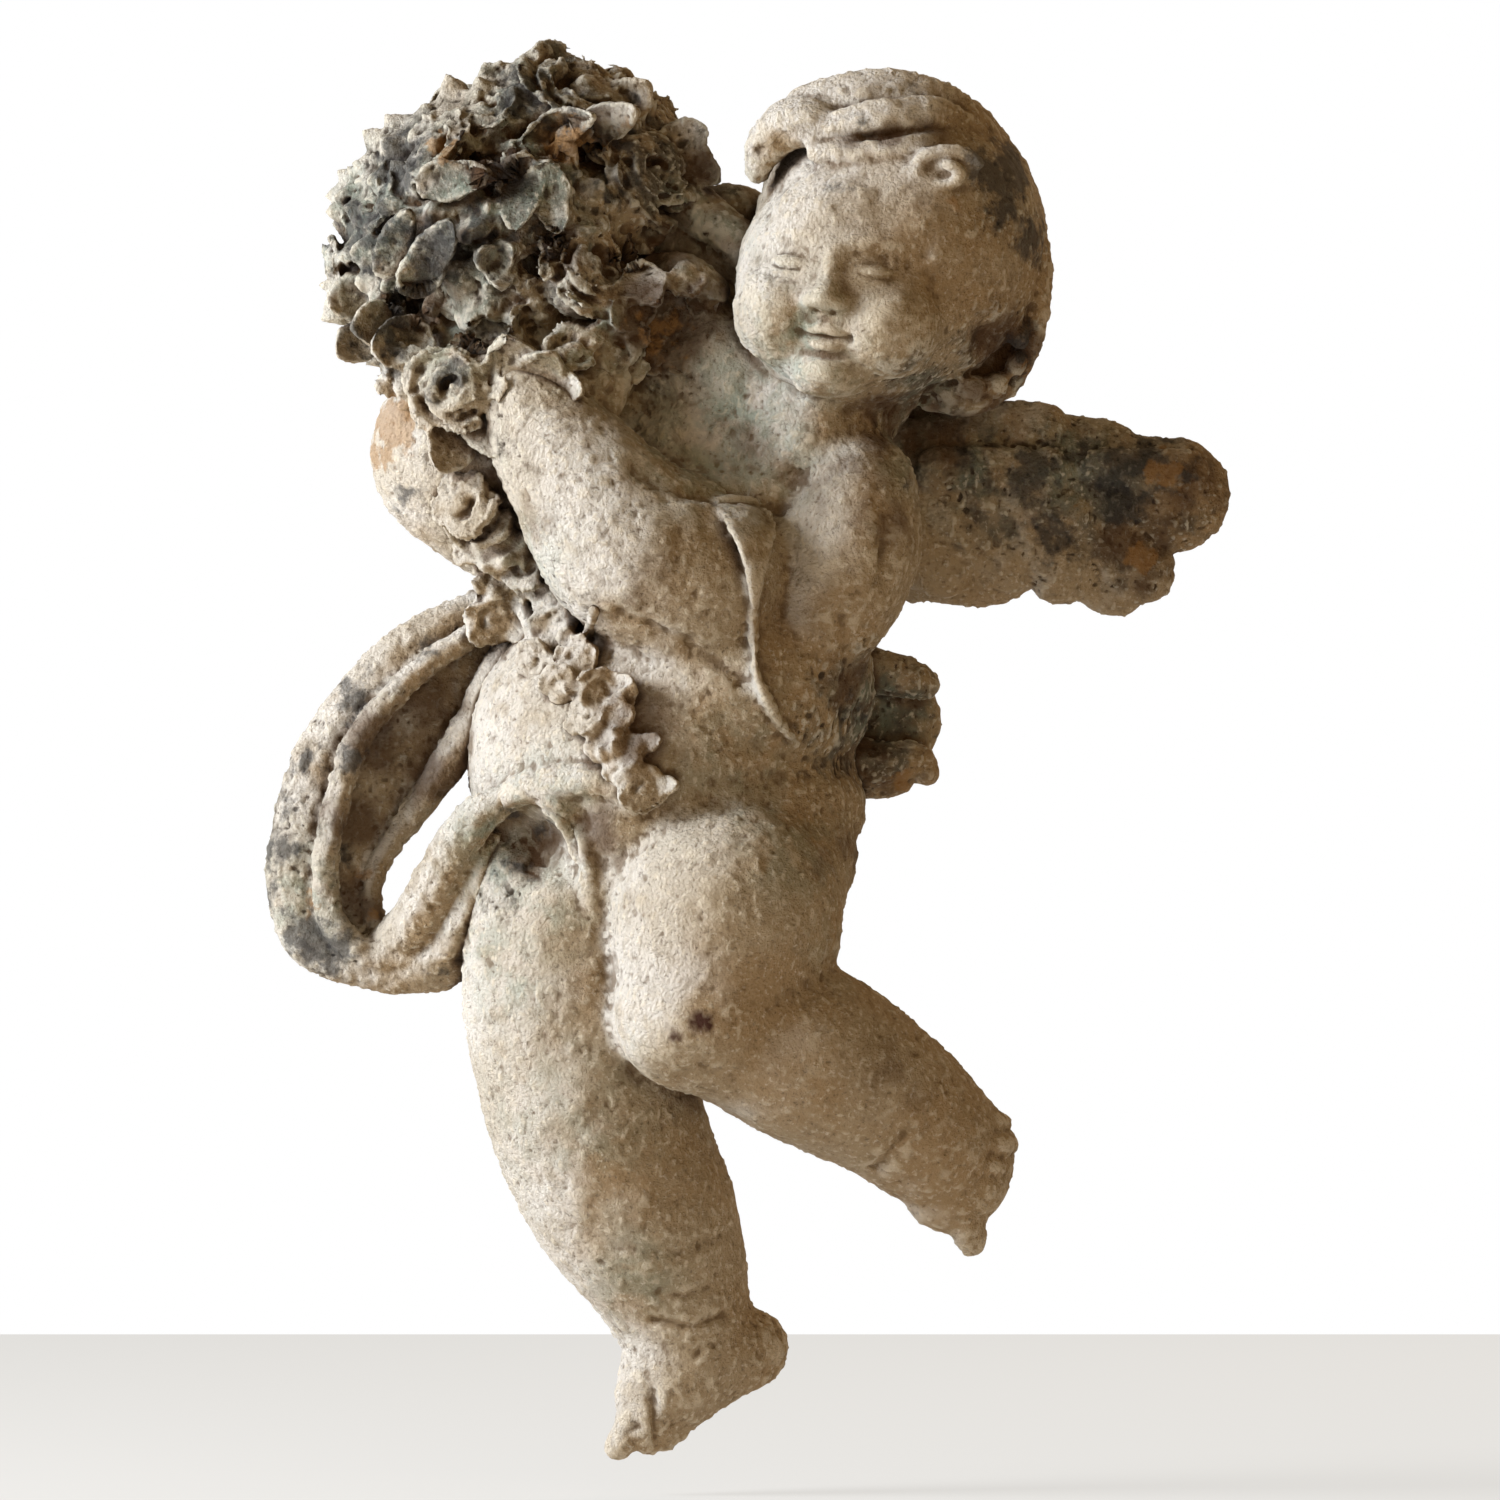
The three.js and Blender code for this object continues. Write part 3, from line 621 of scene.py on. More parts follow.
def scarf_loop():
    """The broad strip of cloth that swings out beside the hip and comes back up to it: a flat outer face,
    a ridge, a deep channel and a narrow inner fold. Below, it turns over into a rounded strand that
    climbs beside the hole to the hip."""
    outer = [
        (-92, 30), (-110, 12), (-145, -5), (-166, -26), (-186, -52), (-198, -76), (-206, -100), (-207, -122),
        (-204, -142), (-195, -158), (-175, -170), (-155, -175), (-135, -178), (-119, -176), (-104, -168),
        (-90, -156),
    ]
    inner = [
        (-88, -24), (-96, -36), (-108, -62), (-120, -76), (-136, -92), (-147, -105), (-152, -117), (-153, -127),
        (-152, -136), (-149, -143), (-144, -147), (-138, -144), (-132, -134), (-125, -118), (-115, -100),
        (-104, -86),
    ]
    depth = [
        (20, 20), (22, 22), (26, 24), (28, 25), (30, 26), (32, 26), (34, 27), (35, 28), (36, 30), (38, 34),
        (40, 40), (42, 46), (44, 52), (46, 62), (50, 74), (56, 86),
    ]
    strip = band(outer, inner, depth, thick=20, ridges=(1, 3))
    folds = [
        # the outer face, broad and nearly flat, and the ridge along its inner side
        ([[-96, 20, 34, 9], [-140, -8, 38, 14], [-178, -56, 40, 15], [-192, -108, 42, 16], [-188, -146, 44, 14],
          [-165, -160, 46, 13], [-135, -166, 50, 12], [-108, -160, 58, 10]], 0.8),
        ([[-98, 6, 48, 6], [-130, -14, 54, 6.5], [-160, -48, 56, 7], [-174, -88, 58, 7], [-178, -118, 58, 7],
          [-174, -142, 57, 7], [-158, -157, 56, 7], [-136, -160, 58, 6]], 1),
        # the inner fold beside the hole
        ([[-92, -28, 44, 12], [-106, -46, 46, 11], [-122, -70, 44, 9], [-140, -94, 40, 7], [-152, -112, 38, 6],
          [-157, -128, 38, 6], [-154, -142, 42, 6]], 1),
        ([[-88, -8, 46, 9], [-98, -24, 50, 8], [-106, -40, 48, 6]], 1),
        # the strand that climbs back to the hip
        ([[-158, -154, 44, 6], [-146, -152, 52, 11], [-132, -140, 62, 13], [-120, -120, 74, 13.5],
          [-110, -100, 86, 12.5], [-100, -88, 96, 10], [-88, -80, 100, 8]], 1),
        ([[-140, -168, 50, 9], [-120, -158, 60, 10], [-106, -136, 74, 9], [-98, -114, 84, 7], [-90, -100, 84, 6]], 1),
    ]
    return [strip, *[limb(f, flat=flat, rows=70, ring=22) for f, flat in folds]]


def laid_on(skin, line):
    """Stations [x, z, lift, radius] with the lift turned into a depth: so far out of the skin there."""
    return [[x, z, depth_on(skin, x, z) + lift, radius] for x, z, lift, radius in line]


def depth_on(skin, x, z, least=40.0):
    """How far out from the wall the skin lies at a place on the front, or least where there is none."""
    hit = skin.ray_cast(Vector((x, -400, z)) * MM, Vector((0, 1, 0)))
    return max(-hit[0].y / MM, least) if hit[0] is not None else least


def loincloth(skin):
    """Where the scarf crosses the hip: a rounded hem that comes up off the strand, and a soft fold that
    falls from it over the thigh."""
    folds = [
        [(-104, -100, 2, 9), (-95, -89, 0, 9), (-80, -77, -1, 9.5), (-64, -71, -2, 9.5), (-46, -70, -3, 9),
         (-32, -73, -3, 8), (-22, -82, -3, 7)],
        [(-64, -80, 0, 7), (-56, -88, -1, 7), (-49, -104, -1, 6.5), (-45, -122, -2, 6), (-43, -140, -4, 5)],
    ]
    return [limb(laid_on(skin, fold), rows=46, ring=18) for fold in folds]


def scarf_tail():
    """The scarf's end behind the other hip: two flutes with a hollow valley between, notched at the end."""
    return [
        limb([[60, -10, 30, 14], [92, -14, 32, 12], [114, -19, 32, 10], [122, -22, 30, 8]], rows=24, flat=1.2),
        limb([[60, -58, 34, 14], [96, -62, 34, 12], [118, -60, 32, 9], [124, -66, 30, 7]], rows=24, flat=1.2),
        limb([[60, -72, 28, 8], [110, -72, 28, 7]], rows=20),
        limb([[60, -38, 16, 30], [92, -39, 14, 30], [104, -40, 13, 28]], flat=0.5, rows=20),
        limb([[58, -36, 40, 14], [78, -34, 34, 8]], rows=16),
    ]


def sash(skin):
    """The end of cloth that hangs from the crook of the arm: a flat three-cornered top that narrows to a
    thread."""
    left = [(15, 71), (23, 56), (30, 40), (34, 24), (36, 4), (36, -16), (43, -34), (54, -50)]
    right = [(44, 71), (49, 56), (46, 42), (41.5, 25), (39, 5), (39.5, -15), (47, -32), (57, -48)]
    lifts = (-3, 7, 8, 6, 3, 2, 1.5, 1)
    depth = [(depth_on(skin, *a) + h, depth_on(skin, *b) + 1.5 * h) for a, b, h in zip(left, right, lifts)]
    strip = band(left, right, depth, thick=8, ridges=(1, 1.0), rows=60, columns=16)
    cord = [
        (34, 30, 2, 2.4), (36, 14, 2.4, 2.6), (37, -8, 2, 2.4), (38, -20, 1.6, 2.4), (47, -38, 1, 2.4),
        (58, -52, 0, 2),
    ]
    return [strip, limb(laid_on(skin, cord), rows=60, ring=14)]


# Creases, cut after the masses are fused: each is a line of [x, z] points on the front, its width and
# its depth in millimetres.
CREASES = [
    ([(-16, -89), (2, -78), (24, -71), (48, -68)], 6.0, 2.2),
    ([(-14, -340), (6, -344), (22, -338)], 2.6, 2.4),
    ([(-12, -326), (2, -328), (14, -324)], 2.4, 1.6),
    ([(-52, -292), (-30, -304), (0, -306), (24, -298)], 4.0, 1.6),
    ([(97, -264), (104, -256), (112, -246)], 3.0, 2.0),
    ([(-14, -376), (-13, -388), (-12, -400)], 2.4, 2.4),
    ([(48, 63), (55, 73), (60, 80)], 5.5, 4.2),
    ([(102, 62), (103, 46), (101, 30)], 4.0, 2.4),
    ([(-30, 12), (-8, 2), (12, -8), (32, -20)], 4.2, 3.4),
    ([(-22, 84), (-8, 77), (4, 73), (16, 72), (34, 72), (50, 68)], 4.2, 4.4),
    ([(80, 10), (84, -14), (84, -40), (82, -62)], 4.0, 2.6),
    ([(12, -212), (-6, -222), (-24, -214)], 4.0, 2.0),
    ([(84, 112), (98, 110), (112, 114), (126, 120)], 4.0, 4.0),
]
# Hollows sunk in the same way: x, z, half width, half height, lean in degrees, depth
HOLLOWS = [
    (-72, -104, 17, 14, 35, 13),
    (-52, -92, 8, 9, 0, 6),
    (-84, -126, 10, 14, 20, 4),
    (38, 242, 5, 4, 0, 4),
    (153, 147, 9, 10, 0, 7),
    (102, 44, 4, 12, 0, 3),
    (96, -40, 13, 11, 0, 5),
    (-26, -396, 3.5, 3, 0, 2),
    (-22, -394, 3, 2.5, 0, 2),
    (-4, 158, 14, 12, 0, 6),
    (-92, 235, 14, 10, 20, 16),
    (-130, 167, 13, 11, -20, 15),
    (-56, 250, 16, 9, 10, 15),
    (-66, 198, 9, 7, 40, 10),
    (-98, 150, 11, 7, 0, 10),
    (-22, 192, 10, 8, 0, 10),
]


def distance_to_line(points, line):
    """Each point's distance in the wall's plane to the nearest of a line's straight stretches."""
    best = np.full(len(points), 1e9)
    flat = points[:, [0, 2]]
    for a, b in zip(np.asarray(line[:-1], float), np.asarray(line[1:], float)):
        ab = b - a
        t = np.clip(((flat - a) @ ab) / (ab @ ab), 0, 1)[:, None]
        best = np.minimum(best, np.linalg.norm(flat - a - t * ab, axis=1))
    return best


def cut_creases(points, normals):
    """Sinks the skin along each crease by depth times exp(-(distance/width)^2), on faces that look out."""
    outward = smoothstep(0.1, 0.5, -normals[:, 1])
    sink = np.zeros(len(points))
    for line, width, depth in CREASES:
        sink += depth * np.exp(-((distance_to_line(points, line) / width) ** 2))
    for x, z, wide, tall, lean, depth in HOLLOWS:
        a = math.radians(lean)
        dx, dz = points[:, 0] - x, points[:, 2] - z
        u = (dx * math.cos(a) - dz * math.sin(a)) / wide
        v = (dx * math.sin(a) + dz * math.cos(a)) / tall
        sink += depth * np.exp(-(u**2) - v**2)
    return points - normals * (sink * outward)[:, None]


# Flowers

SHEAF = {"x": -80.0, "z": 206.0, "depth": 16.0, "wide": 88.0, "high": 90.0, "deep": 92.0}


def on_sheaf(x, z):
    """The depth and the outward direction of the sheaf's dome at a place on the front."""
    u, v = (x - SHEAF["x"]) / SHEAF["wide"], (z - SHEAF["z"]) / SHEAF["high"]
    w = math.sqrt(max(0.08, 1 - u * u - v * v))
    return SHEAF["depth"] + SHEAF["deep"] * w, (u / SHEAF["wide"], v / SHEAF["high"], w / SHEAF["deep"])


# Roses on the dome: x, z, radius, how far opened, rings of petals, a nudge out from the dome, and how
# far the rose leans right and up out of the dome's own direction
DOME_ROSES = [
    (-52, 270, 32, 0.6, 2, 0, 0.1, 0.3),
    (-119, 243, 21, 0.5, 2, 6, -0.3, 0.3),
    (-18, 232, 29, 0.6, 3, 4, -0.1, 0.1),
    (-9, 257, 20, 0.9, 2, -2, 0.3, 0.2),
    (-69, 245, 11, 0.3, 1, 0, 0.2, 0.5),
    (-46, 184, 27, 0.4, 2, 13, 0.0, 0.7),
    (-150, 221, 17, 0.9, 2, 0, -0.3, 0.2),
    (-172, 189, 14, 0.8, 1, 0, -0.6, 0.0),
    (-158, 164, 17, 0.8, 1, 3, 0.4, 0.4),
    (-72, 163, 19, 0.8, 1, 3, 0.6, 0.2),
    (-97, 262, 18, 0.9, 2, 0, -0.2, 0.4),
]
# Roses over the wrist, the hand and the shoulder: x, z, depth, radius, opened, rings, leans
LOW_ROSES = [
    (-111, 125, 110, 25, 0.6, 3, -0.2, 0.1),
    (-56, 143, 112, 14, 0.6, 1, 0.3, 0.6),
    (-33, 144, 100, 17, 0.9, 2, 0.2, -0.2),
    (-6, 158, 76, 28, 0.9, 2, 0.1, 0.2),
    (3, 179, 98, 10, 0.3, 1, 0.2, 0.4),
    (-134, 132, 88, 17, 0.9, 2, -0.4, -0.3),
]
# Blunt flowers between them: x, z, radius
FLORETS = [
    (-114, 266, 15), (-90, 276, 15), (-76, 264, 15), (-134, 256, 15), (-150, 240, 16), (-138, 226, 15), (-160, 206, 17),
    (-103, 216, 17), (-146, 186, 17), (-112, 172, 17), (-148, 146, 17), (-124, 152, 15), (-70, 284, 14), (-26, 270, 15),
    (-78, 206, 15), (-50, 214, 15), (-34, 208, 14), (-36, 250, 14), (-22, 206, 14), (0, 240, 15), (-62, 236, 14),
    (-84, 172, 15), (-92, 244, 13), (-166, 226, 13), (-172, 172, 12), (-126, 206, 15),
]
# Leaves and loose petals: x, z, depth, the way the tip points, length, width, curl, tilt
LEAVES = [
    (-111, 229, 108, 8, 42, 22, 0.3, 12),
    (-123, 192, 104, 58, 50, 23, 0.25, 18),
    (-141, 199, 94, 66, 42, 19, 0.25, 18),
    (-80, 224, 106, 262, 40, 25, 0.3, -8),
    (-65, 221, 106, 284, 38, 23, 0.3, -8),
    (-91, 190, 100, 30, 30, 19, 0.4, 18),
    (-92, 188, 101, 150, 30, 19, 0.4, 18),
    (-89, 184, 101, 270, 30, 19, 0.4, 18),
    (-84, 139, 116, 105, 32, 28, 0.3, 18),
    (-68, 133, 118, 60, 32, 26, 0.35, 18),
    (-58, 125, 118, 345, 30, 22, 0.3, 18),
    (-140, 148, 86, 195, 34, 28, 0.3, 10),
    (-152, 158, 72, 190, 30, 24, 0.3, 10),
    (-113, 98, 102, 250, 38, 26, 0.3, 8),
    (-95, 103, 110, 300, 32, 24, 0.3, 8),
    (-58, 256, 94, 15, 38, 19, 0.3, 10),
    (-34, 259, 88, 20, 34, 21, 0.4, 10),
    (-46, 198, 126, 5, 28, 15, 0.1, 18),
    (-88, 278, 54, 120, 26, 24, 0.2, 0),
    (-119, 259, 52, 140, 28, 24, 0.2, 0),
    (-144, 237, 50, 150, 28, 24, 0.2, 0),
    (-166, 172, 50, 195, 24, 24, 0.3, 0),
    (-162, 150, 46, 215, 26, 22, 0.3, 0),
    (-26, 270, 56, 40, 30, 24, 0.2, 0),
    (2, 252, 54, 25, 26, 22, 0.2, 0),
    (10, 236, 56, 330, 26, 22, 0.2, 10),
    (-16, 176, 100, 300, 30, 21, 0.3, 18),
    (-26, 162, 100, 215, 30, 21, 0.4, 18),
    (-154, 212, 34, 170, 34, 32, 0.1, 0),
    (-160, 188, 26, 185, 30, 32, 0.1, 0),
    (-144, 238, 22, 150, 32, 32, 0.1, 0),
    (-113, 266, 20, 130, 32, 34, 0.1, 0),
    (-70, 282, 22, 95, 30, 36, 0.1, 0),
    (-34, 276, 24, 60, 30, 32, 0.1, 0),
]


def floret(centre, direction, radius, seed):
    """A blunt flower: three to five broad, domed petals laid round a full cushion, so that their rims
    stand only a few millimetres proud of it."""
    chance = np.random.default_rng(seed)
    basis = np.stack(frame_of(direction, chance.uniform(0, 6.3)))
    middle = place(np.asarray(centre, float))
    cushion = egg((0, 0, 0), (0.95 * radius, 0.55 * radius, 0.95 * radius), rows=10, ring=16)
    shells = [middle + cushion @ basis - basis[2] * 0.25 * radius]
    petals = int(chance.integers(3, 6))
    for n in range(petals):
        turn = 360 * n / petals + chance.uniform(-20, 20)
        size = radius * chance.uniform(0.95, 1.25)
        lift = chance.uniform(4, 34)
        wide, tall = size * 1.15, size * 1.05
        shells.append(leaf(centre, turn, tall, wide, 0.15, lift, 6.4, basis, rooted=True, cup=-0.24, rows=10))
    return shells


def sheaf():
    """The sheaf of roses: a rough heart, roses that face out of its dome, and leaves between them."""
    shells = [
        egg((SHEAF["x"], SHEAF["z"] + 2, 10), (76, 77, 80)),
        egg((-30, 226, 30), (38, 48, 34)),
        egg((-138, 182, 28), (34, 44, 34)),
        egg((-64, 148, 56), (66, 34, 38)),
        egg((14, 208, 38), (34, 20, 22), lean=-20),
        egg((14, 166, 44), (34, 36, 22)),
    ]
    for n, (x, z, radius, opened, rings, nudge, right, up) in enumerate(DOME_ROSES):
        depth, direction = on_sheaf(x, z)
        direction = unit(np.asarray(direction)) + np.array([right, up, 0.1])
        middle = (x, z, depth - 0.5 * radius + 2 + nudge)
        shells += rose(middle, direction, radius, seed=n, opened=opened, rings=rings)
    for n, (x, z, radius) in enumerate(FLORETS):
        depth, direction = on_sheaf(x, z)
        shells += floret((x, z, depth - 6), direction, radius, seed=120 + n)
    for n, (x, z, depth, radius, opened, rings, right, up) in enumerate(LOW_ROSES):
        shells += rose((x, z, depth), (right, up, 1), radius, seed=60 + n, opened=opened, rings=rings)
    for x, z, depth, turn, length, width, curl, tilt in LEAVES:
        shells.append(leaf((x, z, depth), turn, length, width, curl, tilt))
    return shells


# The garland, from the wrist down to the loins: x, z, radius
GARLAND = [
    (-106, 67, 16), (-94, 56, 12), (-104, 46, 9), (-89, 47, 12), (-76, 35, 12), (-94, 30, 9), (-67, 26, 12),
    (-84, 20, 10), (-96, 11, 12), (-80, 6, 9), (-62, 4, 12), (-72, -10, 10), (-50, -10, 10), (-58, -22, 10),
    (-40, -26, 11), (-46, -40, 9), (-31, -38, 9), (-36, -52, 9), (-26, -56, 9), (-30, -66, 8),
    (-19, -74, 11),
]
GARLAND_STEMS = [
    [(-90, 42), (-80, 20), (-72, -6)],
    [(-42, 14), (-46, 2), (-56, -10), (-64, -16)],
    [(-104, 72), (-92, 44), (-78, 18), (-62, -12), (-42, -40), (-22, -72)],
]


def garland(skin):
    """Small roses, leaves and stems strung over whatever lies under them: each takes its depth from the
    figure's skin at its place."""
    shells = []
    chance = np.random.default_rng(11)
    for n, (x, z, radius) in enumerate(GARLAND):
        depth = depth_on(skin, x, z, 60.0)
        direction = (chance.uniform(-0.6, 0.3), chance.uniform(-0.3, 0.6), 1)
        radius *= 1.12
        opened = chance.uniform(0.4, 1.0)
        if n % 7 == 3:
            shells += floret((x, z, depth + 0.2 * radius), direction, radius, seed=200 + n)
        else:
            shells += rose((x, z, depth + 0.3 * radius), direction, radius, 200 + n, opened, rings=2)
        if n % 2 == 0:
            turn = chance.uniform(0, 360)
            reach = 11
            lx, lz = x + reach * math.cos(math.radians(turn)), z + reach * math.sin(math.radians(turn))
            shells.append(leaf((lx, lz, depth_on(skin, lx, lz, 56.0) + 3), turn, 20, 11, 0.3, 16, thick=5.4))
    for stem in GARLAND_STEMS:
        stations = [[x, z, depth_on(skin, x, z, 56.0) + 1.5, 3.4] for x, z in stem]
        shells.append(limb(stations, rows=30, ring=12))
    return shells


# Weather, and the marks that the colours follow: painted light and painted shade among them

def weathered(points, normals, roughness):
    """Wears and roughens the skin. It moves along its normal by a slow swell (24 mm cells), lumps of
    crust (11 and 6 mm), grains of sand and small pits where two 2.7 mm noises pass a threshold, and
    larger pits where a 7 mm one does. roughness is a share for each vertex: 1 on coarse crust and less
    where the surface is rubbed smooth."""
    crust = 0.5 * noise(points, 11, 2) + 0.45 * noise(points, 6, 3)
    sand = 0.3 * noise(points, 3.6, 4) + 0.85 * smoothstep(0.2, 0.8, noise(points, 2.7, 7))
    sand -= 0.65 * smoothstep(0.3, 0.8, noise(points, 2.7, 8))
    pits = smoothstep(0.5, 0.8, noise(points, 7, 5)) * 0.9
    move = 0.6 * noise(points, 24, 1) + roughness * (crust + sand - pits)
    return points + normals * move[:, None]


def store(mesh, name, values):
    """One number for each vertex, kept on the mesh for its material."""
    attribute = mesh.attributes.new(name, "FLOAT", "POINT")
    attribute.data.foreach_set("value", np.clip(values, 0, 1).astype(np.float32))


# Soft-edged patches on the front: x, z, radius and strength of each. First black lichen.
SOOT = [
    (-84, 230, 24, 0.7), (-30, 226, 26, 0.6), (-140, 238, 22, 0.8), (-80, 274, 24, 0.7),
    (-60, 204, 16, 0.6), (-150, 170, 18, 0.6), (-186, -62, 16, 0.7), (-200, -104, 16, 0.8),
    (-188, -150, 16, 0.8), (-166, -60, 14, 0.7), (-170, -110, 12, 0.6), (-132, -2, 14, 0.5),
    (-70, -96, 12, 0.6), (-60, 268, 36, 0.5), (-124, 240, 34, 0.55), (-20, 262, 34, 0.45),
    (-96, 206, 40, 0.5), (-156, 200, 34, 0.8), (-120, 190, 30, 0.8), (-40, 240, 30, 0.6),
    (-110, 124, 24, 0.6), (-150, 150, 28, 0.7), (-80, 196, 30, 0.5), (120, 268, 26, 0.4),
    (158, 232, 20, 1.0), (158, 214, 13, 0.9), (176, 200, 18, 0.7), (172, 146, 22, 0.6), (226, 84, 34, 0.9),
    (184, 88, 26, 0.8), (190, 52, 26, 0.6), (150, 92, 26, 0.6), (-168, -30, 20, 0.6), (-200, -84, 16, 0.6),
    (-202, -128, 14, 0.6), (-150, -16, 16, 0.5), (-176, -154, 18, 0.7), (-84, -118, 18, 0.6),
    (-120, -166, 14, 0.5), (96, -40, 20, 0.6), (-136, 70, 16, 0.5), (-112, 80, 14, 0.5),
    (-84, -86, 10, 0.5), (-20, 98, 14, 0.3), (88, 256, 16, 0.4), (78, 226, 16, 0.45), (122, 80, 22, 0.5),
]
# Old grey-brown crust, on what has never been rubbed: the flowers, the wing and the scarf
AGED = [
    (96, 40, 24, 0.2), (46, 178, 24, 0.25), (62, 150, 24, 0.2), (215, 72, 60, 0.65), (160, 76, 40, 0.55),
    (-92, 226, 100, 0.62), (-60, 285, 40, 0.5), (-6, 240, 50, 0.6), (168, 205, 30, 0.3),
    (160, 140, 26, 0.8), (-192, -90, 42, 0.42), (-150, -40, 40, 0.36), (-180, -148, 34, 0.42),
    (96, -40, 34, 0.9), (-84, -120, 24, 0.5), (-6, 156, 30, 0.7), (-100, 96, 26, 0.4), (120, 118, 26, 0.8),
    (-60, 20, 30, 0.35),
]
# Blue-green algae
VERDIGRIS = [
    (-22, -318, 24, 0.5), (-84, -170, 22, 0.5), (-150, 190, 30, 0.8), (-50, 206, 24, 0.6),
    (84, -150, 20, 0.4), (20, 110, 42, 0.9), (44, 92, 30, 0.7), (-160, 210, 34, 0.7), (-130, 170, 30, 0.7),
    (-40, 150, 30, 0.8), (-92, -104, 24, 0.8), (-66, -130, 24, 0.6), (-98, -150, 18, 0.5),
    (100, -34, 20, 1.0), (116, 92, 18, 0.8), (-190, -130, 26, 0.6), (-50, -240, 46, 0.35),
    (58, 142, 30, 0.8), (-70, 246, 30, 0.8), (120, 110, 20, 0.7), (-64, -78, 24, 0.7), (150, 90, 30, 0.5),
    (8, 205, 26, 0.8), (-110, 150, 26, 0.7), (-100, 216, 44, 0.7), (-76, 266, 34, 0.5), (30, -60, 40, 0.4),
    (60, -96, 30, 0.5), (-76, 40, 22, 0.5), (196, 90, 26, 0.5),
]
# Iron stain
OCHRE = [
    (-142, 106, 17, 1.0), (-150, 94, 12, 0.8), (245, 86, 12, 1.0), (232, 44, 10, 1.0), (-119, 243, 12, 0.9),
    (174, 134, 10, 0.6), (-188, -132, 10, 0.9), (-160, -118, 8, 0.7), (200, 66, 8, 0.6),
    (-44, 182, 12, 0.6), (-44, 202, 6, 0.6), (112, -72, 9, 0.9), (136, 216, 6, 0.6), (-154, -140, 8, 0.7),
    (-66, -80, 8, 0.5), (-10, 150, 22, 0.7), (-56, 248, 20, 0.7), (-24, 258, 20, 0.5), (10, -112, 16, 0.35),
    (-60, -80, 12, 0.4),
]
# Brown soil, and painted shade: the garland's shadow on the belly, the dark recesses under the chin, the hair and the
# cap's lip, and the hollow round the shadowed rose
EARTH_AND_SHADE = [
    (78, 78, 32, 0.42), (84, 56, 24, 0.3), (84, 249, 8, 0.5), (104, 250, 9, 0.6), (124, 250, 9, 0.6),
    (-24, -44, 26, 0.6), (-150, -50, 22, 0.8), (-165, -90, 20, 0.8), (-160, -125, 17, 0.8),
    (-128, -28, 20, 0.7), (-112, -52, 14, 0.5), (30, 96, 22, 0.4), (-20, 30, 22, 0.4), (130, 100, 24, 1.0),
    (100, 108, 18, 0.8), (164, 148, 22, 1.0), (150, 110, 24, 0.7), (-6, 158, 30, 1.0), (-92, 234, 18, 0.8),
    (-58, 249, 16, 0.8), (-129, 166, 16, 0.7), (-72, -104, 18, 0.8), (-128, -70, 26, 0.8),
    (108, 56, 14, 0.6), (84, -20, 20, 0.6), (100, -60, 20, 0.7), (236, 50, 26, 0.7), (256, 78, 20, 0.7),
    (-40, -95, 18, 0.6), (60, 20, 30, 0.3), (24, -250, 24, 0.3), (110, -222, 26, 0.3), (-2, 196, 22, 0.6),
    (16, 240, 20, 0.5), (-60, 60, 24, 0.3), (84, -110, 24, 0.4), (-48, 192, 16, 0.5),
]
# Places rubbed smooth, where the crust is thin
RUBBED = [
    (-10, -190, 26, 0.6), (40, -150, 40, 0.4), (60, -210, 50, 0.5), (100, 190, 60, 0.4), (60, 40, 40, 0.5),
    (-20, -290, 40, 0.3), (130, -250, 40, 0.4), (78, 172, 38, 0.6), (131, 232, 22, 0.6),
]
# Painted light: places painted pale as if lit, though they face away from the key light
LIT_PATCHES = [
    (24, 106, 26, 0.7), (-40, 66, 40, 0.6), (-188, -96, 24, 0.4), (-170, -40, 20, 0.6),
    (-176, -146, 22, 0.7), (-170, 200, 20, 0.5), (-140, 216, 30, 0.4), (30, 60, 13, 0.9), (36, 34, 9, 0.7),
    (36, 0, 7, 0.6), (-20, 60, 40, 0.3), (104, 266, 30, 0.8), (84, 258, 24, 0.6), (-60, -72, 10, 0.5),
]
# Fresh chips in the knee, with a hard edge
CHIPS = [(11, -189, 7.5, 1.0), (-1, -197, 3.6, 0.9)]
# The marks that patches leave on a mesh, and the seed of each one's ragged edge
PATCH_MARKS = {
    "soot": (SOOT, 31),
    "aged": (AGED, 36),
    "verdigris": (VERDIGRIS, 41),
    "ochre": (OCHRE, 51),
    "earth_and_shade": (EARTH_AND_SHADE, 56),
}


def patches(points, spots, seed):
    """The strongest of several soft spots at each point: strength times exp(-(distance/radius)^2), with
    edges broken by noise."""
    flat = points[:, [0, 2]]
    ragged = 1 + 0.5 * noise(points, 14, seed) + 0.3 * noise(points, 6, seed + 1)
    best = np.zeros(len(points))
    for x, z, radius, strength in spots:
        far = np.linalg.norm(flat - (x, z), axis=1) / radius
        best = np.maximum(best, strength * np.exp(-(far**2)))
    return best * np.clip(ragged, 0.2, 1.6)


